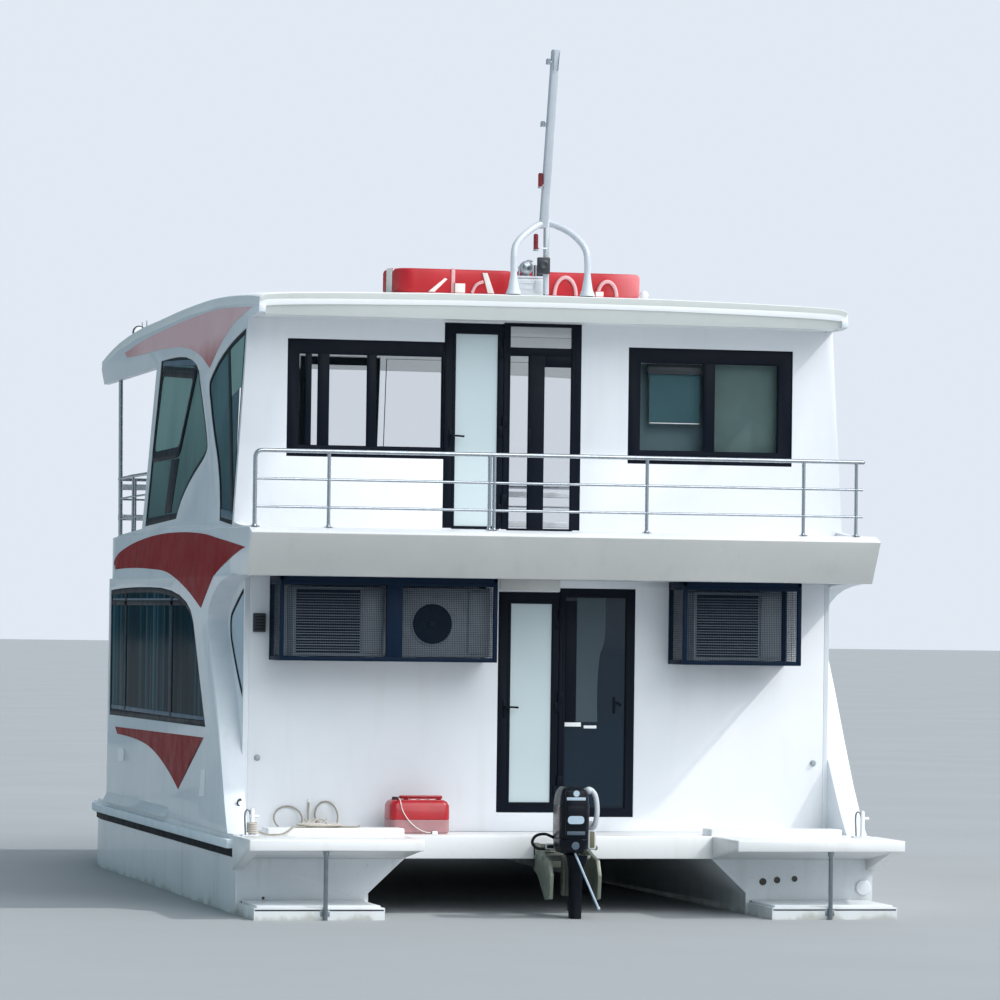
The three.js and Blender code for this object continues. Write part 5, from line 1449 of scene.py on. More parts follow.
def cooler(name, x0, x1, fan_x=None):
    """An outdoor cooling unit: a case on two feet, and louvres or a fan in front."""
    s = Shape()
    y0, y1, z0, z1 = -0.410, -0.110, CAGE_LOW + 0.0143, 2.900
    fan = 0.178
    s.box((x0, y0 + 0.016, z0 + 0.03), (x1, y1, z1), 0.012)
    for x in (x0 + 0.08, x1 - 0.16):
        s.box((x, y0 + 0.03, z0), (x + 0.08, y1 - 0.03, z0 + 0.03), 0.004)
    s.box((x1 - 0.20, y0 + 0.004, z0 + 0.06), (x1 - 0.02, y0 + 0.020, z1 - 0.03), 0.004)
    if fan_x is None:
        louvres(s, x0 + 0.03, x1 - 0.22, y0, z0, z1)
    else:
        middle = (z0 + z1) / 2
        rim = [(fan + 0.014, 0), (fan + 0.014, 0.014), (fan, 0.016), (fan, 0)]
        s.lathe(rim, (fan_x, y0 + 0.016, middle), (0, -1, 0), 40)
        fan_grille(s, fan_x, y0 + 0.006, middle, fan)
    s.done(f"{name}_unit", BOAT, "cooler", COOLER_CASE, COOLER_DARK, replaces=(name,))


def cooling():
    cage("cage_port", -2.509, -0.526, (-1.513, -1.470))
    cage("cage_starboard", 1.200, 2.314)
    cooler("cooler_outer", -2.370, -1.540)
    cooler("cooler_inner", -1.390, -0.570, fan_x=-1.100)
    cooler("cooler_starboard", 1.330, 2.160)


# Roof gear

LEG_BENDS = [
    # y, then x and z of the port leg and of the starboard leg
    (-0.160, -0.334, 5.925, 0.354, 5.882),
    (-0.130, -0.314, 6.010, 0.346, 5.984),
    (-0.080, -0.252, 6.088, 0.301, 6.073),
    (0.000, -0.140, 6.175, 0.207, 6.167),
    (0.066, -0.040, 6.232, 0.099, 6.226),
    (0.100, 0.010, 6.256, 0.010, 6.256),
]
# Each lamp on the blade: y, low and high z, how far it stands out, its paint
LAMPS = [(-0.285, 7.662, 7.706, 0.088, 1), (-0.118, 7.112, 7.154, 0.092, 1),
         (-0.020, 6.560, 6.690, 0.084, 2), (0.045, 5.992, 6.140, 0.104, 2)]


def mast():
    """Two bent legs up to a knee, a raked blade over it and a post under it; then horn, lamps and whips."""
    s = Shape()
    for legs in ([(x, y, z) for y, x, z, _, _ in LEG_BENDS], [(x, y, z) for y, _, _, x, z in LEG_BENDS]):
        x, y, _ = legs[0]
        foot = roof_z(abs(x) - 0.03, y + 0.03) + 0.001
        s.tube(smooth([(x, y, foot), (x, y, 5.75), *legs], 5), 0.030, 16)
        s.lathe([(0, 0), (0.072, 0), (0.070, 0.010), (0.050, 0.060), (0.034, 0.160), (0.030, 0.200),
                 (0, 0.200)], (x, y, foot), sides=24)
    s.ball(KNEE, 0.040, 14)
    _, ky, kz = KNEE
    _, ty, tz = MAST_TOP
    blade = [(ky - 0.045, kz - 0.06), (ky + 0.045, kz - 0.06), (ty + 0.040, tz), (ty - 0.045, tz)]
    s.prism("x", blade, -0.036, 0.036, 0.012, 3)
    s.box((0.010, ky - 0.045, roof_z(0, 0.145) + 0.001), (0.050, ky + 0.045, kz), 0.008)
    s.done("mast_tubes", BOAT, "gelcoat", MAST_PAINT, replaces=("mast",))
    s = Shape()
    s.box((-0.068, 0.000, 5.775), (0.045, 0.0546, 5.925), 0.008)
    s.lathe([(0, 0), (0.040, 0), (0.046, 0.012), (0.030, 0.020), (0, 0.012)], (-0.015, 0.001, 5.855),
            (0, -1, 0), 24)
    s.done("mast_horn", BOAT, "steel", DARK_FITTING)
    for i, row in enumerate(LAMPS):
        mast_lamp(f"mast_lamp_{i}", *row)
    s = Shape()
    s.tube([(0.02, -0.300, 7.60), (0.028, -0.330, 7.786)], [0.0055, 0.0025], 8)
    s.tube([(-0.02, -0.300, 7.60), (-0.026, -0.335, 7.78)], [0.005, 0.003], 8)
    s.done("mast_whips", BOAT, "steel", TRIM_GREY)


def mast_lamp(name, y, z0, z1, out, paint):
    """A lamp on a bracket to port of the blade."""
    s = Shape()
    middle = -out + 0.022
    s.box((-out * 0.55, y - 0.012, z0 + 0.01), (0.022, y + 0.012, z0 + 0.024), 0.003)
    s.paint = paint
    s.lathe([(0, z0), (0.020, z0), (0.022, z0 + 0.004), (0.022, z1 - 0.010), (0.014, z1), (0, z1)],
            (middle, y, 0), sides=20)
    s.paint = 1
    s.lathe([(0, z0 - 0.008), (0.024, z0 - 0.008), (0.024, z0 + 0.006), (0, z0 + 0.006)], (middle, y, 0),
            sides=20)
    s.done(name, BOAT, "gelcoat", WHITE, TRIM_GREY, LAMP_RED)


def searchlight():
    """A lamp on a turning bracket and a dark horn, over a stack of white boxes."""
    s = Shape()
    seat = roof_z(0, 0.44)
    middle, face, high = -0.115, 0.230, 5.845
    base = [(0.22, roof_z(0, 0.22) + 0.0005), (0.44, seat + 0.0005), (0.44, seat + 0.14), (0.22, seat + 0.14)]
    s.prism("x", base, -0.205, 0.045, 0.010)
    for z in (0.045, 0.095):
        s.box((-0.190, 0.212, seat + z), (-0.060, 0.222, seat + z + 0.006), 0.002)
    s.box((-0.045, 0.210, seat + 0.010), (0.050, 0.225, seat + 0.125), 0.006)
    s.box((-0.215, 0.235, seat + 0.145), (0.060, 0.430, seat + 0.165), 0.006)
    s.paint = 1
    s.lathe([(0, 0), (0.056, 0), (0.062, 0.012), (0.062, 0.050), (0.048, 0.080), (0.046, 0.150),
             (0.030, 0.180), (0, 0.190)], (middle, face, high), (0, 1, 0), 28)
    for x in (-0.182, -0.052):
        s.box((x, 0.270, seat + 0.16), (x + 0.010, 0.310, 5.860), 0.003)
    s.lathe([(0, 0), (0.042, 0), (0.036, 0.030), (0, 0.030)], (middle, 0.300, seat + 0.158), sides=20)
    s.tube([(middle, 0.300, 5.895), (-0.090, 0.300, 5.915), (-0.050, 0.300, 5.905)], 0.009, 10)
    s.paint = 2
    s.lathe([(0, -0.004), (0.036, -0.002), (0.050, 0.004), (0, 0.006)], (middle, face - 0.003, high),
            (0, 1, 0), 28)
    s.paint = 3
    s.box((-0.022, 0.290, seat + 0.16), (0.055, 0.380, 5.880), 0.008)
    s.done("searchlight_unit", BOAT, "gelcoat", WHITE, TRIM_GREY, STEEL, DARK_FITTING,
           replaces=("searchlight",))


def float_ring(a, b, r, steps=6):
    """A rectangle with round corners about the origin."""
    line = []
    for cx, cy, start in ((a - r, b - r, 0), (r - a, b - r, 90), (r - a, r - b, 180), (a - r, r - b, 270)):
        for i in range(steps + 1):
            t = math.radians(start + 90 * i / steps)
            line.append((cx + r * math.cos(t), cy + r * math.sin(t)))
    return line


FLOAT = {"wide": 0.860, "high": 0.225, "tube": 0.190, "y": 1.050}
# Each level of a float's section: its height, and how far it is drawn in
FLOAT_LEVELS = [(0.0, 0.020), (0.012, 0.006), (0.030, 0.0), (FLOAT["high"] - 0.035, 0.0),
                (FLOAT["high"] - 0.012, 0.010), (FLOAT["high"], 0.030)]


def life_float(name, middle, length, arches, fittings):
    """A red buoyant ring that lies on the roof, with rope arches and fittings on its aft side.

    arches are x places, widths and heights.
    """
    wide, tube, y, aft = FLOAT["wide"], FLOAT["tube"], FLOAT["y"], -FLOAT["wide"] / 2
    s = Shape()
    outer = [[(x, yy, z) for x, yy in float_ring(length / 2 - d, wide / 2 - d, 0.150 - d)]
             for z, d in FLOAT_LEVELS]
    inner = [[(x, yy, z) for x, yy in float_ring(length / 2 - tube + d, wide / 2 - tube + d, 0.060 + d)]
             for z, d in reversed(FLOAT_LEVELS)]
    s.closed_loft(outer + inner)
    s.paint = 2
    for x, w, h in arches:
        turns = [math.pi * i / 16 for i in range(17)]
        s.tube([(x - middle - w / 2 * math.cos(t), aft - 0.010, 0.012 + (h - 0.012) * math.sin(t))
                for t in turns], 0.0175, 12)
    fittings(s, middle, aft)
    y0, y1 = y - wide / 2, y + wide / 2
    near = max(0, abs(middle) - length / 2)
    rise = (roof_z(near, y1) - roof_z(near, y0)) / (y1 - y0)
    height = (roof_z(near, y0) + roof_z(near, y1)) / 2 + 0.001
    s.bm.transform(Matrix.Translation((middle, y, height)) @ Matrix.Rotation(math.atan(rise), 4, "X"))
    s.done(f"{name}_cover", BOAT, "float_cover", RED_COVER, WEBBING, GRAB_ROPE, replaces=(name,))


def port_float_fittings(s, middle, aft):
    """A band on the port end, a slanted strap, an upright strap and a box on the aft side."""
    end, high = -0.550, FLOAT["high"]
    s.paint = 1
    s.box((end - 0.003, aft + 0.30, 0.006), (end + 0.02, aft + 0.56, high + 0.003), 0.003)
    slanted = [(-0.960, 0.010), (-0.895, 0.010), (-0.775, 0.130), (-0.800, 0.145)]
    upright = [(-0.395, 0.010), (-0.330, 0.010), (-0.400, 0.200), (-0.450, 0.200)]
    for strap, out in ((slanted, 0.006), (upright, 0.007)):
        s.prism("y", [(x - middle, z) for x, z in strap], aft - out, aft + 0.004, 0.002)
    s.box((-0.715 - middle, aft - 0.035, 0.004), (-0.610 - middle, aft + 0.004, 0.100), 0.006)
    s.paint = 2
    s.tube(smooth([(-0.545 - middle, aft - 0.010, 0.012), (-0.505 - middle, aft - 0.012, 0.085),
                   (-0.440 - middle, aft - 0.012, 0.118)], 6), 0.015, 12)
    s.box((-0.742 - middle, aft - 0.004, 0.006), (-0.702 - middle, aft + 0.02, high + 0.003), 0.003)


def starboard_float_fittings(s, middle, aft):
    """A small white box at the foot of the outer arch."""
    s.paint = 1
    s.box((0.620 - middle, aft - 0.030, 0.004), (0.705 - middle, aft + 0.004, 0.060), 0.006)


def roof_gear():
    mast()
    searchlight()
    life_float("life_float_port", -0.680, 1.100, [], port_float_fittings)
    life_float("life_float_starboard", 0.485, 1.200, [(0.340, 0.205, 0.178), (0.740, 0.180, 0.150)],
               starboard_float_fittings)
    roof_fittings()


def roof_fittings():
    """A round fender and two aerials at the port edge, and a round white fitting to starboard."""
    s = Shape()
    x, y = -2.560, 7.400
    seat = roof_z(abs(x), y)
    middle = seat + 0.052
    s.lathe([(0, -0.020), (0.050, -0.020), (0.062, -0.006), (0.062, 0.006), (0.050, 0.020), (0, 0.020)],
            (x, y, middle), (0, 1, 0), 28)
    s.paint = 1
    s.tube([(x + u, y, middle + v) for u, v in circle(0.060, 32)], 0.012, 10, closed=True)
    for dy in (-0.20, -0.50):
        s.tube([(x, y + dy, roof_z(abs(x), y + dy)), (x, y + dy, seat + 0.150)], [0.006, 0.003], 8)
    s.paint = 0
    s.ball((1.090, 0.600, roof_z(1.090, 0.600) + 0.040), 0.042, 16)
    s.done("roof_fittings", BOAT, "gelcoat", WHITE, DARK_FITTING)


# Outboard motor

def clamp():
    s = Shape()
    side = [(-0.8003, 0.640), (-0.8003, 0.400), (-0.950, 0.355), (-1.230, 0.155), (-1.400, 0.170),
            (-1.425, 0.380), (-1.350, 0.512), (-1.160, 0.548), (-0.960, 0.600), (-0.900, 0.640)]
    for hand in (-1, 1):
        a, b = sorted((hand * 0.200, hand * 0.235))
        s.prism("x", side, a, b, 0.006)
        for y, z in ((-1.150, 0.520), (-1.250, 0.260), (-0.900, 0.520)):
            s.lathe([(0, 0), (0.022, 0), (0.022, 0.008), (0.014, 0.014), (0, 0.014)],
                    (hand * 0.235, y, z), (hand, 0, 0), 12)
    s.box((-0.235, -0.8553, 0.420), (0.235, -0.8003, 0.630), 0.006)
    s.paint = 1
    for x in (-0.12, 0.12):
        s.tube([(x, -0.830, 0.560), (x, -0.930, 0.560)], 0.012, 12)
        s.box((x - 0.045, -0.945, 0.552), (x + 0.045, -0.930, 0.568), 0.004)
    s.done("outboard_clamp_casting", BOAT, "bracket", BRACKET, GREASE, replaces=("outboard_clamp",))


def swivel():
    s = Shape()
    inner = 0.1997
    s.tube([(-inner, -1.150, 0.520), (inner, -1.150, 0.520)], 0.026, 20)
    s.box((-0.070, -1.230, 0.190), (0.070, -1.140, 0.540), 0.012)
    s.lathe([(0, 0.190), (0.050, 0.190), (0.058, 0.200), (0.058, 0.250), (0.050, 0.262), (0.050, 0.470),
             (0.058, 0.480), (0.058, 0.552), (0, 0.552)], (0, -1.225, 0), sides=24)
    for z in (0.28, 0.36, 0.44):
        s.box((-0.076, -1.222, z - 0.006), (0.076, -1.150, z + 0.006), 0.003)
    s.done("outboard_swivel_casting", "outboard tilt body", "bracket", BRACKET,
           replaces=("outboard_swivel",))


def cowl_section(z, half, front, aft, corner, steps=5):
    """A round-cornered section of the cowl at one height, narrower towards the front."""
    mid, length = (front + aft) / 2, (front - aft) / 2
    return [(x * (0.86 - 0.14 * y / length), mid + y, z) for x, y in float_ring(half, length, corner, steps)]


def cowl_row(z, half, front, aft, corner):
    section = cowl_section(z, half * COWL_SHARE, front, aft, corner * COWL_SHARE)
    return [(x + COWL_SHIFT, y, z) for x, y, z in section]


# Each row of the cowl and of the leg: z, half width, front y, aft y, corner
COWL_ROWS = [(0.580, 0.120, -1.185, -1.550, 0.060), (0.600, 0.140, -1.165, -1.590, 0.080),
             (0.640, 0.158, -1.155, -1.612, 0.090), (0.700, 0.172, -1.152, -1.626, 0.095),
             (0.708, 0.166, -1.158, -1.620, 0.092), (0.716, 0.172, -1.152, -1.626, 0.095),
             (0.860, 0.175, -1.158, -1.638, 0.095), (1.000, 0.174, -1.172, -1.638, 0.095),
             (1.080, 0.165, -1.195, -1.628, 0.095), (1.130, 0.145, -1.230, -1.602, 0.085),
             (1.156, 0.115, -1.265, -1.565, 0.070), (1.165, 0.080, -1.300, -1.525, 0.050)]
LEG_ROWS = [(0.560, 0.095, -1.290, -1.540, 0.06), (0.500, 0.078, -1.290, -1.520, 0.05),
            (0.420, 0.060, -1.290, -1.485, 0.045), (0.200, 0.056, -1.291, -1.475, 0.045),
            (0.000, 0.052, -1.292, -1.470, 0.04), (-0.055, 0.060, -1.290, -1.480, 0.04)]
PLATE_ROWS = [(-0.045, 0.093, -1.185, -1.640, 0.06), (-0.057, 0.098, -1.180, -1.645, 0.06),
              (-0.075, 0.093, -1.185, -1.640, 0.06)]
STRUT_ROWS = [(-0.060, 0.030, -1.310, -1.480, 0.028), (-0.180, 0.026, -1.300, -1.480, 0.025),
              (-0.250, 0.034, -1.280, -1.490, 0.030)]


def motor():
    s = Shape()
    s.loft([cowl_row(*row) for row in COWL_ROWS])
    mid = COWL_SHIFT
    s.box((mid - 0.095, COWL_FACE, 0.735), (mid + 0.095, -1.620, 1.135), 0.012)
    s.paint = 1
    s.box((mid - 0.080, COWL_FACE - 0.0015, 0.800), (mid + 0.080, -1.640, 0.995), 0.008)
    cowl_decals(s, mid)
    s.done("outboard_cowl", "outboard motor", "motor", COWL, MOTOR_PAINT, SILVER, DIM_SILVER)
    motor_leg()
    motor_fittings()


def cowl_decals(s, mid):
    """Bare pale patches on the aft face, and a dim one and a round one below it."""
    s.paint = 2
    s.disc(0.028, 0.003, (mid, COWL_FACE + 0.001, 1.108), (0, -1, 0))
    s.box((mid - 0.088, COWL_FACE - 0.002, 1.048), (mid + 0.084, COWL_FACE, 1.076), 0.006)
    patch = round_outline(rect(mid - 0.076, mid + 0.072, 0.842, 0.912), 0.034)
    s.prism("y", patch, COWL_FACE - 0.0024, COWL_FACE - 0.0013)
    s.paint = 3
    s.box((mid - 0.082, COWL_FACE - 0.0015, 0.745), (mid + 0.082, COWL_FACE - 0.0005, 0.778), 0.003)
    s.lathe([(0, 0), (0.036, 0), (0.032, 0.004), (0, 0.005)], (mid, -1.632, 0.650), (0, -1, 0), 24)


def motor_leg():
    """The leg, the plate over the propeller, the gear case and its fin."""
    s = Shape()
    s.box((-0.060, -1.275, 0.5523), (0.060, -1.175, 0.600), 0.010)
    for rows in (LEG_ROWS, PLATE_ROWS, STRUT_ROWS):
        s.loft([cowl_section(*row) for row in rows])
    s.lathe([(0, 0), (0.018, 0.004), (0.036, 0.030), (0.047, 0.080), (0.048, 0.240), (0.044, 0.300),
             (0, 0.300)], (0, -1.190, -0.300), (0, -1, 0), 28)
    fin = [(-1.270, -0.330), (-1.470, -0.330), (-1.430, -0.500), (-1.345, -0.500)]
    s.prism("x", fin, -0.007, 0.007, 0.003)
    s.paint = 1
    s.box((-0.040, -1.2935, 0.060), (0.040, -1.285, 0.150), 0.004)
    s.paint = 2
    s.tube([(-0.045, -1.545, 0.590), (0.060, -1.560, 0.350), (0.170, -1.575, 0.100)], 0.010, 12)
    s.ball((0.170, -1.575, 0.100), 0.016, 12)
    s.done("outboard_leg", "outboard motor", "motor", MOTOR_PAINT, GREASE, SILVER,
           replaces=("outboard_motor",))


def motor_fittings():
    """A pale carrying handle down the starboard side, and a fuel hose's loop to port."""
    s = Shape()
    grip = smooth([(0.040, -1.500, 1.118), (0.088, -1.530, 1.140), (0.128, -1.545, 1.100),
                   (0.148, -1.550, 1.010), (0.150, -1.545, 0.910), (0.136, -1.520, 0.820),
                   (0.100, -1.480, 0.790)], 6)
    s.tube(grip, 0.024, 14)
    s.ball((0.078, -1.535, 1.132), 0.034, 16)
    s.box((0.075, -1.500, 0.780), (0.150, -1.300, 0.860), 0.014)
    s.paint = 2
    s.box((0.080, -1.520, 0.610), (0.158, -1.330, 0.790), 0.018)
    s.ball((0.170, -1.440, 0.625), 0.022, 14)
    s.paint = 1
    hose = smooth([(-0.150, -1.240, 0.700), (-0.240, -1.235, 0.735), (-0.325, -1.230, 0.715),
                   (-0.352, -1.230, 0.660), (-0.310, -1.225, 0.612), (-0.215, -1.220, 0.606),
                   (-0.120, -1.215, 0.625)], 8)
    s.tube(hose, 0.013, 14)
    s.box((-0.235, -1.250, 0.600), (-0.150, -1.200, 0.650), 0.010)
    s.done("outboard_fittings", "outboard motor", "motor", COWL_TRIM, RUBBER, BRONZE)


# Each section of a blade: its radius, half chord and twist; and round it, shares of the chord and sides
BLADE = [(0.030, 0.035, 0.95), (0.075, 0.055, 0.75), (0.120, 0.058, 0.58), (0.152, 0.040, 0.48),
         (0.164, 0.014, 0.44)]
BLADE_ROUND = ((-1, 0), (-0.4, 1), (0.5, 1), (1, 0), (0.5, -1), (-0.4, -1))
BLADE_HALF, BLADE_RAKE = 0.0035, 0.012


def blade_section(k, r, chord, twist):
    ring = []
    for share, side in BLADE_ROUND:
        u, n = share * chord, side * BLADE_HALF
        ring.append(Vector((u * math.cos(twist) + n * math.sin(twist) + BLADE_RAKE * k,
                            u * math.sin(twist) - n * math.cos(twist), r)))
    return ring


def propeller():
    s = Shape()
    x, y, z = PROPELLER
    s.lathe([(0, -0.070), (0.016, -0.068), (0.030, -0.050), (0.038, -0.010), (0.042, 0.0447), (0, 0.0447)],
            PROPELLER, (0, 1, 0), 28)
    for i in range(3):
        turn = Matrix.Translation((x, y - 0.012, z)) @ Matrix.Rotation(i * 2 * math.pi / 3, 4, "Y")
        s.loft([[turn @ p for p in blade_section(k, *row)] for k, row in enumerate(BLADE)])
    s.done("propeller_blades", "propeller", "motor", MOTOR_PAINT, replaces=("propeller",))


# Gear on the lower deck

def fuel_tank():
    """Red over a translucent foot, with a raised handle, a cap and the hose's connector."""
    s = Shape()
    x0, x1, y0, y1 = TANK.values()
    mx, my, a, b = (x0 + x1) / 2, (y0 + y1) / 2, (x1 - x0) / 2, (y1 - y0) / 2

    def level(z, d, r):
        return [(mx + x, my + y, z) for x, y in float_ring(a - d, b - d, r, 6)]

    foot = DECK_TOP + 0.0005
    s.paint = 1
    s.loft([level(foot, 0.015, 0.05), level(foot + 0.015, 0.002, 0.06), level(0.818, 0.0, 0.06),
            level(0.826, 0.006, 0.06)])
    s.paint = 0
    s.loft([level(0.822, 0.006, 0.06), level(0.830, 0.0, 0.06), level(0.950, 0.002, 0.06),
            level(0.984, 0.018, 0.06), level(1.000, 0.045, 0.05)])
    s.paint = 4
    y = y0 + 0.140
    s.box((x0 + 0.150, y - 0.020, 0.992), (x0 + 0.190, y + 0.020, 1.022), 0.006)
    s.box((x1 - 0.100, y - 0.020, 0.992), (x1 - 0.060, y + 0.020, 1.022), 0.006)
    s.box((x0 + 0.110, y - 0.026, 1.008), (x1 - 0.050, y + 0.026, 1.038), 0.010)
    s.paint = 2
    for i in range(3):
        x = x0 + 0.200 + 0.085 * i
        s.box((x, y - 0.030, 0.992), (x + 0.060, y - 0.012, 1.008), 0.003)
    s.paint = 3
    s.lathe([(0, 0), (0.034, 0), (0.034, 0.022), (0.028, 0.027), (0, 0.027)], (x0 + 0.075, y0 + 0.14, 0.998),
            sides=20)
    s.box((-1.402, -0.4148, 1.0015), (-1.378, -0.386, 1.0225), 0.003)
    s.done("fuel_tank_shell", BOAT, "tank", TANK_RED, TANK_CLEAR, WEBBING, DARK_FITTING, TANK_HANDLE,
           replaces=("fuel_tank",))


# Cords: their routes are the solids' own, in metres

def loop_on_wall(x, half, high):
    """A turn of rope that leans on the stern wall."""
    line = []
    for i in range(12):
        part = i / 11
        rise = (1 - math.cos(2 * math.pi * part)) / 2
        line.append((x - half * math.sin(2 * math.pi * part), -0.098 - 0.032 * part + 0.105 * rise,
                     ON_DECK + 0.003 + high * rise))
    return line


MOORING_ROUTE = [
    (-2.752, -0.952, 0.735), (-2.715, -0.945, 0.724), (-2.665, -0.928, 0.711),
    (-2.600, -0.905, ON_DECK + 0.0005), (-2.530, -0.872, 0.713), (-2.470, -0.838, 0.738),
    (-2.415, -0.792, ON_HATCH + 0.004), (-2.360, -0.738, ON_HATCH + 0.0005), (-2.270, -0.680, ON_HATCH),
    (-2.160, -0.650, ON_HATCH), (-2.050, -0.645, ON_HATCH), (-1.940, -0.655, ON_HATCH),
    (-1.850, -0.640, ON_HATCH), (-1.790, -0.580, ON_HATCH), (-1.765, -0.525, ON_HATCH + 0.001),
    (-1.758, -0.475, ON_HATCH + 0.0025), (-1.755, -0.435, 0.755), (-1.752, -0.390, 0.733),
    (-1.755, -0.320, 0.712), (-1.765, -0.250, ON_DECK + 0.0005), (-1.790, -0.180, ON_DECK),
    (-1.850, -0.125, ON_DECK + 0.001),
    *loop_on_wall(-1.975, 0.102, 0.255),
    (-2.060, -0.134, ON_DECK + 0.001), (-2.150, -0.118, ON_DECK + 0.001),
    *loop_on_wall(-2.325, 0.127, 0.210),
    (-2.405, -0.150, ON_DECK + 0.001), (-2.445, -0.190, ON_DECK), (-2.425, -0.240, ON_DECK),
    (-2.350, -0.262, ON_DECK), (-2.260, -0.250, ON_DECK), (-2.185, -0.215, ON_DECK), (-2.150, -0.168, 0.714),
    (-2.143, -0.122, 0.742), (-2.142, -0.078, 0.800), (-2.138, -0.045, 0.870), (-2.130, -0.022, 0.930),
    (-2.127, -0.009, 0.985),
]
FUEL_ROUTE = [
    (-1.390, -0.4153, 1.011), (-1.390, -0.445, 1.011), (-1.388, -0.483, 0.997), (-1.382, -0.491, 0.965),
    (-1.368, -0.4807, 0.918), (-1.340, -0.4797, 0.865), (-1.300, -0.4802, 0.812), (-1.250, -0.4817, 0.765),
    (-1.195, -0.4887, 0.731), (-1.150, -0.501, 0.715), (-1.120, -0.505, 0.7125), (-1.1003, -0.505, 0.7125),
]


TURN = 24  # points to a turn of rope


def winding(radius, count, at, low, pitch):
    """Turns round an upright axis; each turn climbs by the pitch."""
    points = circle(radius, TURN, TURN * count)
    return [(at[0] + u, at[1] + v, low + pitch * i / TURN) for i, (u, v) in enumerate(points)]


def rope_turns():
    """Turns up the bollard's post and down again over them, and the lead to the line's start."""
    post_at, low, pitch, count = (-2.815, -0.960), 0.7145, 0.0152, 7
    top = low + pitch * count - 0.002
    up = winding(0.0275, count, post_at, low, pitch)
    down = winding(0.0415, count - 1, post_at, top, -pitch)
    down.append((post_at[0] + 0.0415, post_at[1], top - pitch * (count - 1)))
    x, y, z = MOORING_ROUTE[0]
    return [*up, *down, (x - 0.013, y - 0.002, z - 0.004), (x, y, z)]


def rope_coils():
    """Loose turns that lie on the hatch, and a snarl at the foot of the wall."""
    flat, snarl = [], []
    for i in range(3 * TURN + 1):
        t = 2 * math.pi * i / TURN
        grow = 1 - 0.045 * i / TURN
        flat.append((-2.160 + 0.200 * grow * math.cos(t) + 0.02 * math.sin(2.3 * t),
                     -0.650 + 0.060 * grow * math.sin(t),
                     ON_HATCH + 0.010 + 0.0055 * i / TURN * (1 + math.cos(3 * t) / 3)))
        snarl.append((-2.075 + 0.085 * math.sin(t + 0.5) + 0.03 * math.sin(0.37 * t),
                      -0.118 - 0.028 * math.cos(1.5 * t), 0.765 + 0.048 * math.sin(1.33 * t)))
    return flat, snarl


def mooring_line():
    """A laid rope from the port bollard over the hatch, in two loops against the wall."""
    line = even(smooth(MOORING_ROUTE, 14), ROPE_STEP)
    s = Shape()
    s.tube(line, MOORING["diameter"] / 2, 18, strands=3, lay=LAY)
    rope = s.done("mooring_rope", BOAT, "rope", ROPE, angle=80, replaces=("mooring_line",))
    s = Shape()
    s.tube(line[-9:], MOORING["diameter"] / 2 + 0.0008, 16)
    end = s.done("mooring_rope_whipping", BOAT, "rope", WEBBING)
    s = Shape()
    for turns in (rope_turns(), *rope_coils()):
        s.tube(even(smooth(turns, 3), ROPE_STEP), MOORING["diameter"] * 0.45, 18, strands=3, lay=LAY)
    turned = s.done("mooring_rope_turns", BOAT, "rope", ROPE_PALE, angle=80)


def fuel_line():
    """A thin white hose from the tank's connector to the deck gland."""
    line = smooth(FUEL_ROUTE, 12)
    s = Shape()
    s.tube(line, FUEL_HOSE["diameter"] / 2, 14)
    hose = s.done("fuel_hose", BOAT, "white_hose", HOSE_WHITE, angle=80, replaces=("fuel_line",))
    s = Shape()
    s.tube(line[:8], [0.0062] * 6 + [0.0050, 0.0044], 12)
    s.tube(line[-7:], [0.0044, 0.0050] + [0.0062] * 5, 12)
    cuffs = s.done("fuel_hose_cuffs", BOAT, "white_hose", DARK_FITTING)


def bollards():
    """A white post with a cross bar and a dark steel hoop, on each quarter."""
    hoop = [(-0.058, 0.004), (-0.058, 0.215), (-0.036, 0.229), (-0.018, 0.205), (-0.012, 0.155)]
    y, z = -0.960, DECK_TOP + REST
    for name, x in (("port", -2.815), ("starboard", 2.775)):
        s = Shape()
        s.box((x - 0.095, y - 0.050, z), (x + 0.055, y + 0.050, z + 0.008), 0.003)
        for dx in (-0.080, 0.040):
            for dy in (-0.036, 0.036):
                s.lathe([(0, 0.008), (0.008, 0.008), (0.007, 0.013), (0, 0.013)], (x + dx, y + dy, z),
                        sides=8)
        s.lathe([(0, 0.004), (0.032, 0.006), (0.026, 0.016), (0.020, 0.030), (0.020, 0.222), (0.0165, 0.234),
                 (0.008, 0.240), (0, 0.240)], (x, y, z), sides=24)
        s.lathe([(0, 0), (0.009, 0), (0.013, 0.004), (0.013, 0.083), (0.009, 0.087), (0, 0.087)],
                (x - 0.025, y, z + 0.170), (1, 0, 0), 18)
        s.paint = 1
        s.tube(smooth([(x + u, y, z + v) for u, v in hoop], 6), 0.008, 14)
        s.done(f"bollard_{name}_post", BOAT, "gelcoat", WHITE, STRUT_STEEL, replaces=(f"bollard_{name}",))


# Small fittings on the walls

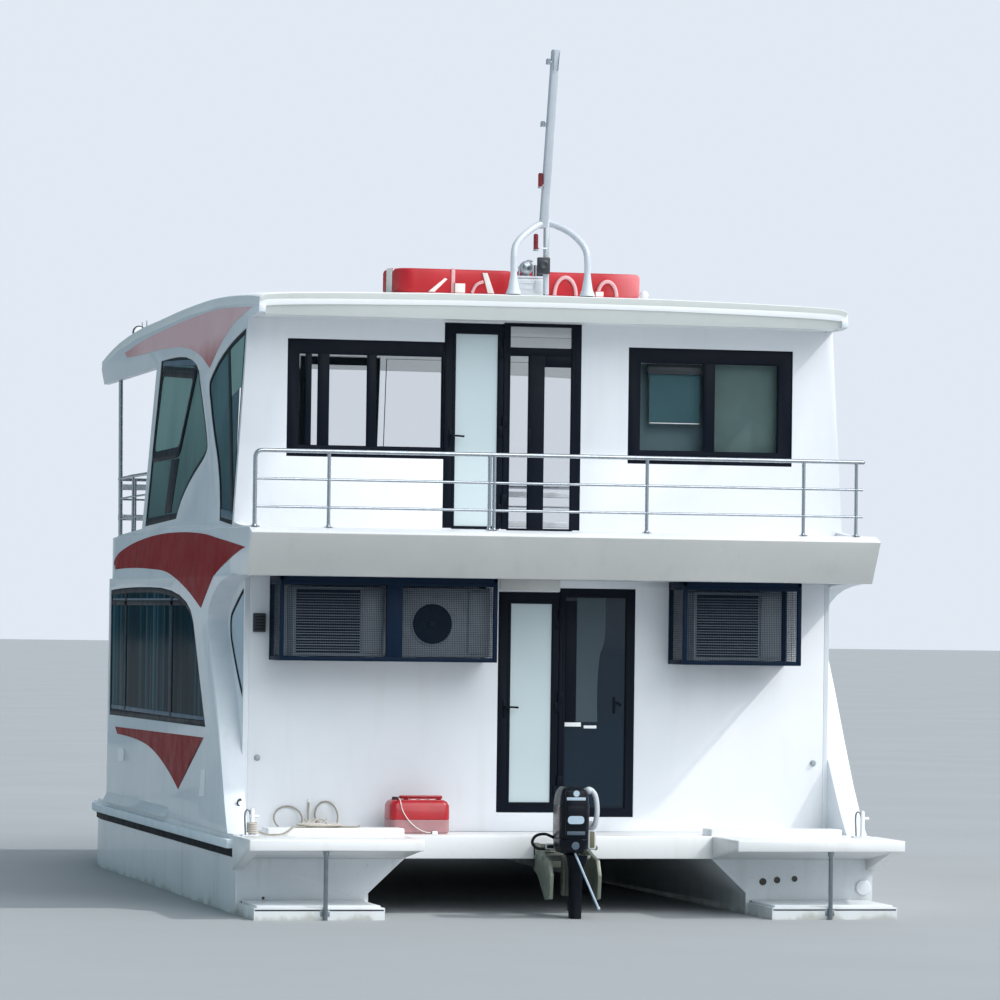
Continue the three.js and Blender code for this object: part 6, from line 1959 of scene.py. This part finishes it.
def wall_fittings():
    s = Shape()
    s.box((-0.388, -0.014, 2.889), (0.175, 0.001, 2.985), 0.004)
    s.done("door_head_trim", BOAT, "gelcoat", GREY_TRIM_AND_SLAB_SHADE)
    s = Shape()
    s.box((-2.659, -0.045, 2.483), (-2.547, 0.001, 2.652), 0.008)
    s.paint = 1
    for i in range(5):
        z = 2.505 + 0.027 * i
        s.box((-2.648, -0.050, z), (-2.558, -0.043, z + 0.012), 0.002)
    s.done("vent_box", BOAT, "gelcoat", DARK_FITTING, ALUMINIUM)
    for name, x, z in (("port", -2.603, 1.357), ("starboard", 2.595, 1.339)):
        s = Shape()
        s.lathe([(0, 0), (0.028, 0), (0.028, 0.010), (0.018, 0.022), (0.010, 0.024), (0, 0.020)], (x, 0.0, z),
                (0, -1, 0), 20)
        s.done(f"wall_socket_{name}", BOAT, "gelcoat", TRIM_GREY)
    wall_hook()


def wall_hook():
    """A small dark hook on the port shell's aft edge."""
    x, y, z = HOOK
    s = Shape()
    s.lathe([(0, 0), (0.016, 0), (0.014, 0.006), (0, 0.006)], (x, y, z), (0, -1, 0), 16)
    s.tube(smooth([(x, y - 0.004, z), (x - 0.004, y - 0.030, z + 0.010), (x - 0.022, y - 0.040, z + 0.002),
                   (x - 0.030, y - 0.040, z - 0.030), (x - 0.012, y - 0.038, z - 0.050)], 6), 0.007, 12)
    s.done("wall_hook", BOAT, "steel", DARK_FITTING)


def build():
    hulls_and_decks()
    steps()
    transom_marks()
    rub_rail()
    swooshes()
    side_windows()
    stern_windows()
    blinds()
    stern_doors()
    front_glazing()
    aft_rail()
    balcony_rail()
    bow_rail()
    roof()
    cooling()
    roof_gear()
    clamp()
    swivel()
    motor()
    propeller()
    fuel_tank()
    bollards()
    wall_fittings()


def floor():
    """The water's surface."""
    half = 400.0
    mesh = bpy.data.meshes.new("floor")
    mesh.from_pydata([(x, y, 0) for x, y in rect(-half, half, -half, half)], [], [(0, 1, 2, 3)])
    mesh.materials.append(FLOOR)
    piece = bpy.data.objects.new("floor", mesh)
    bpy.context.scene.collection.objects.link(piece)


aim_camera()
mooring_line()
fuel_line()
light_scene()
floor()
build()
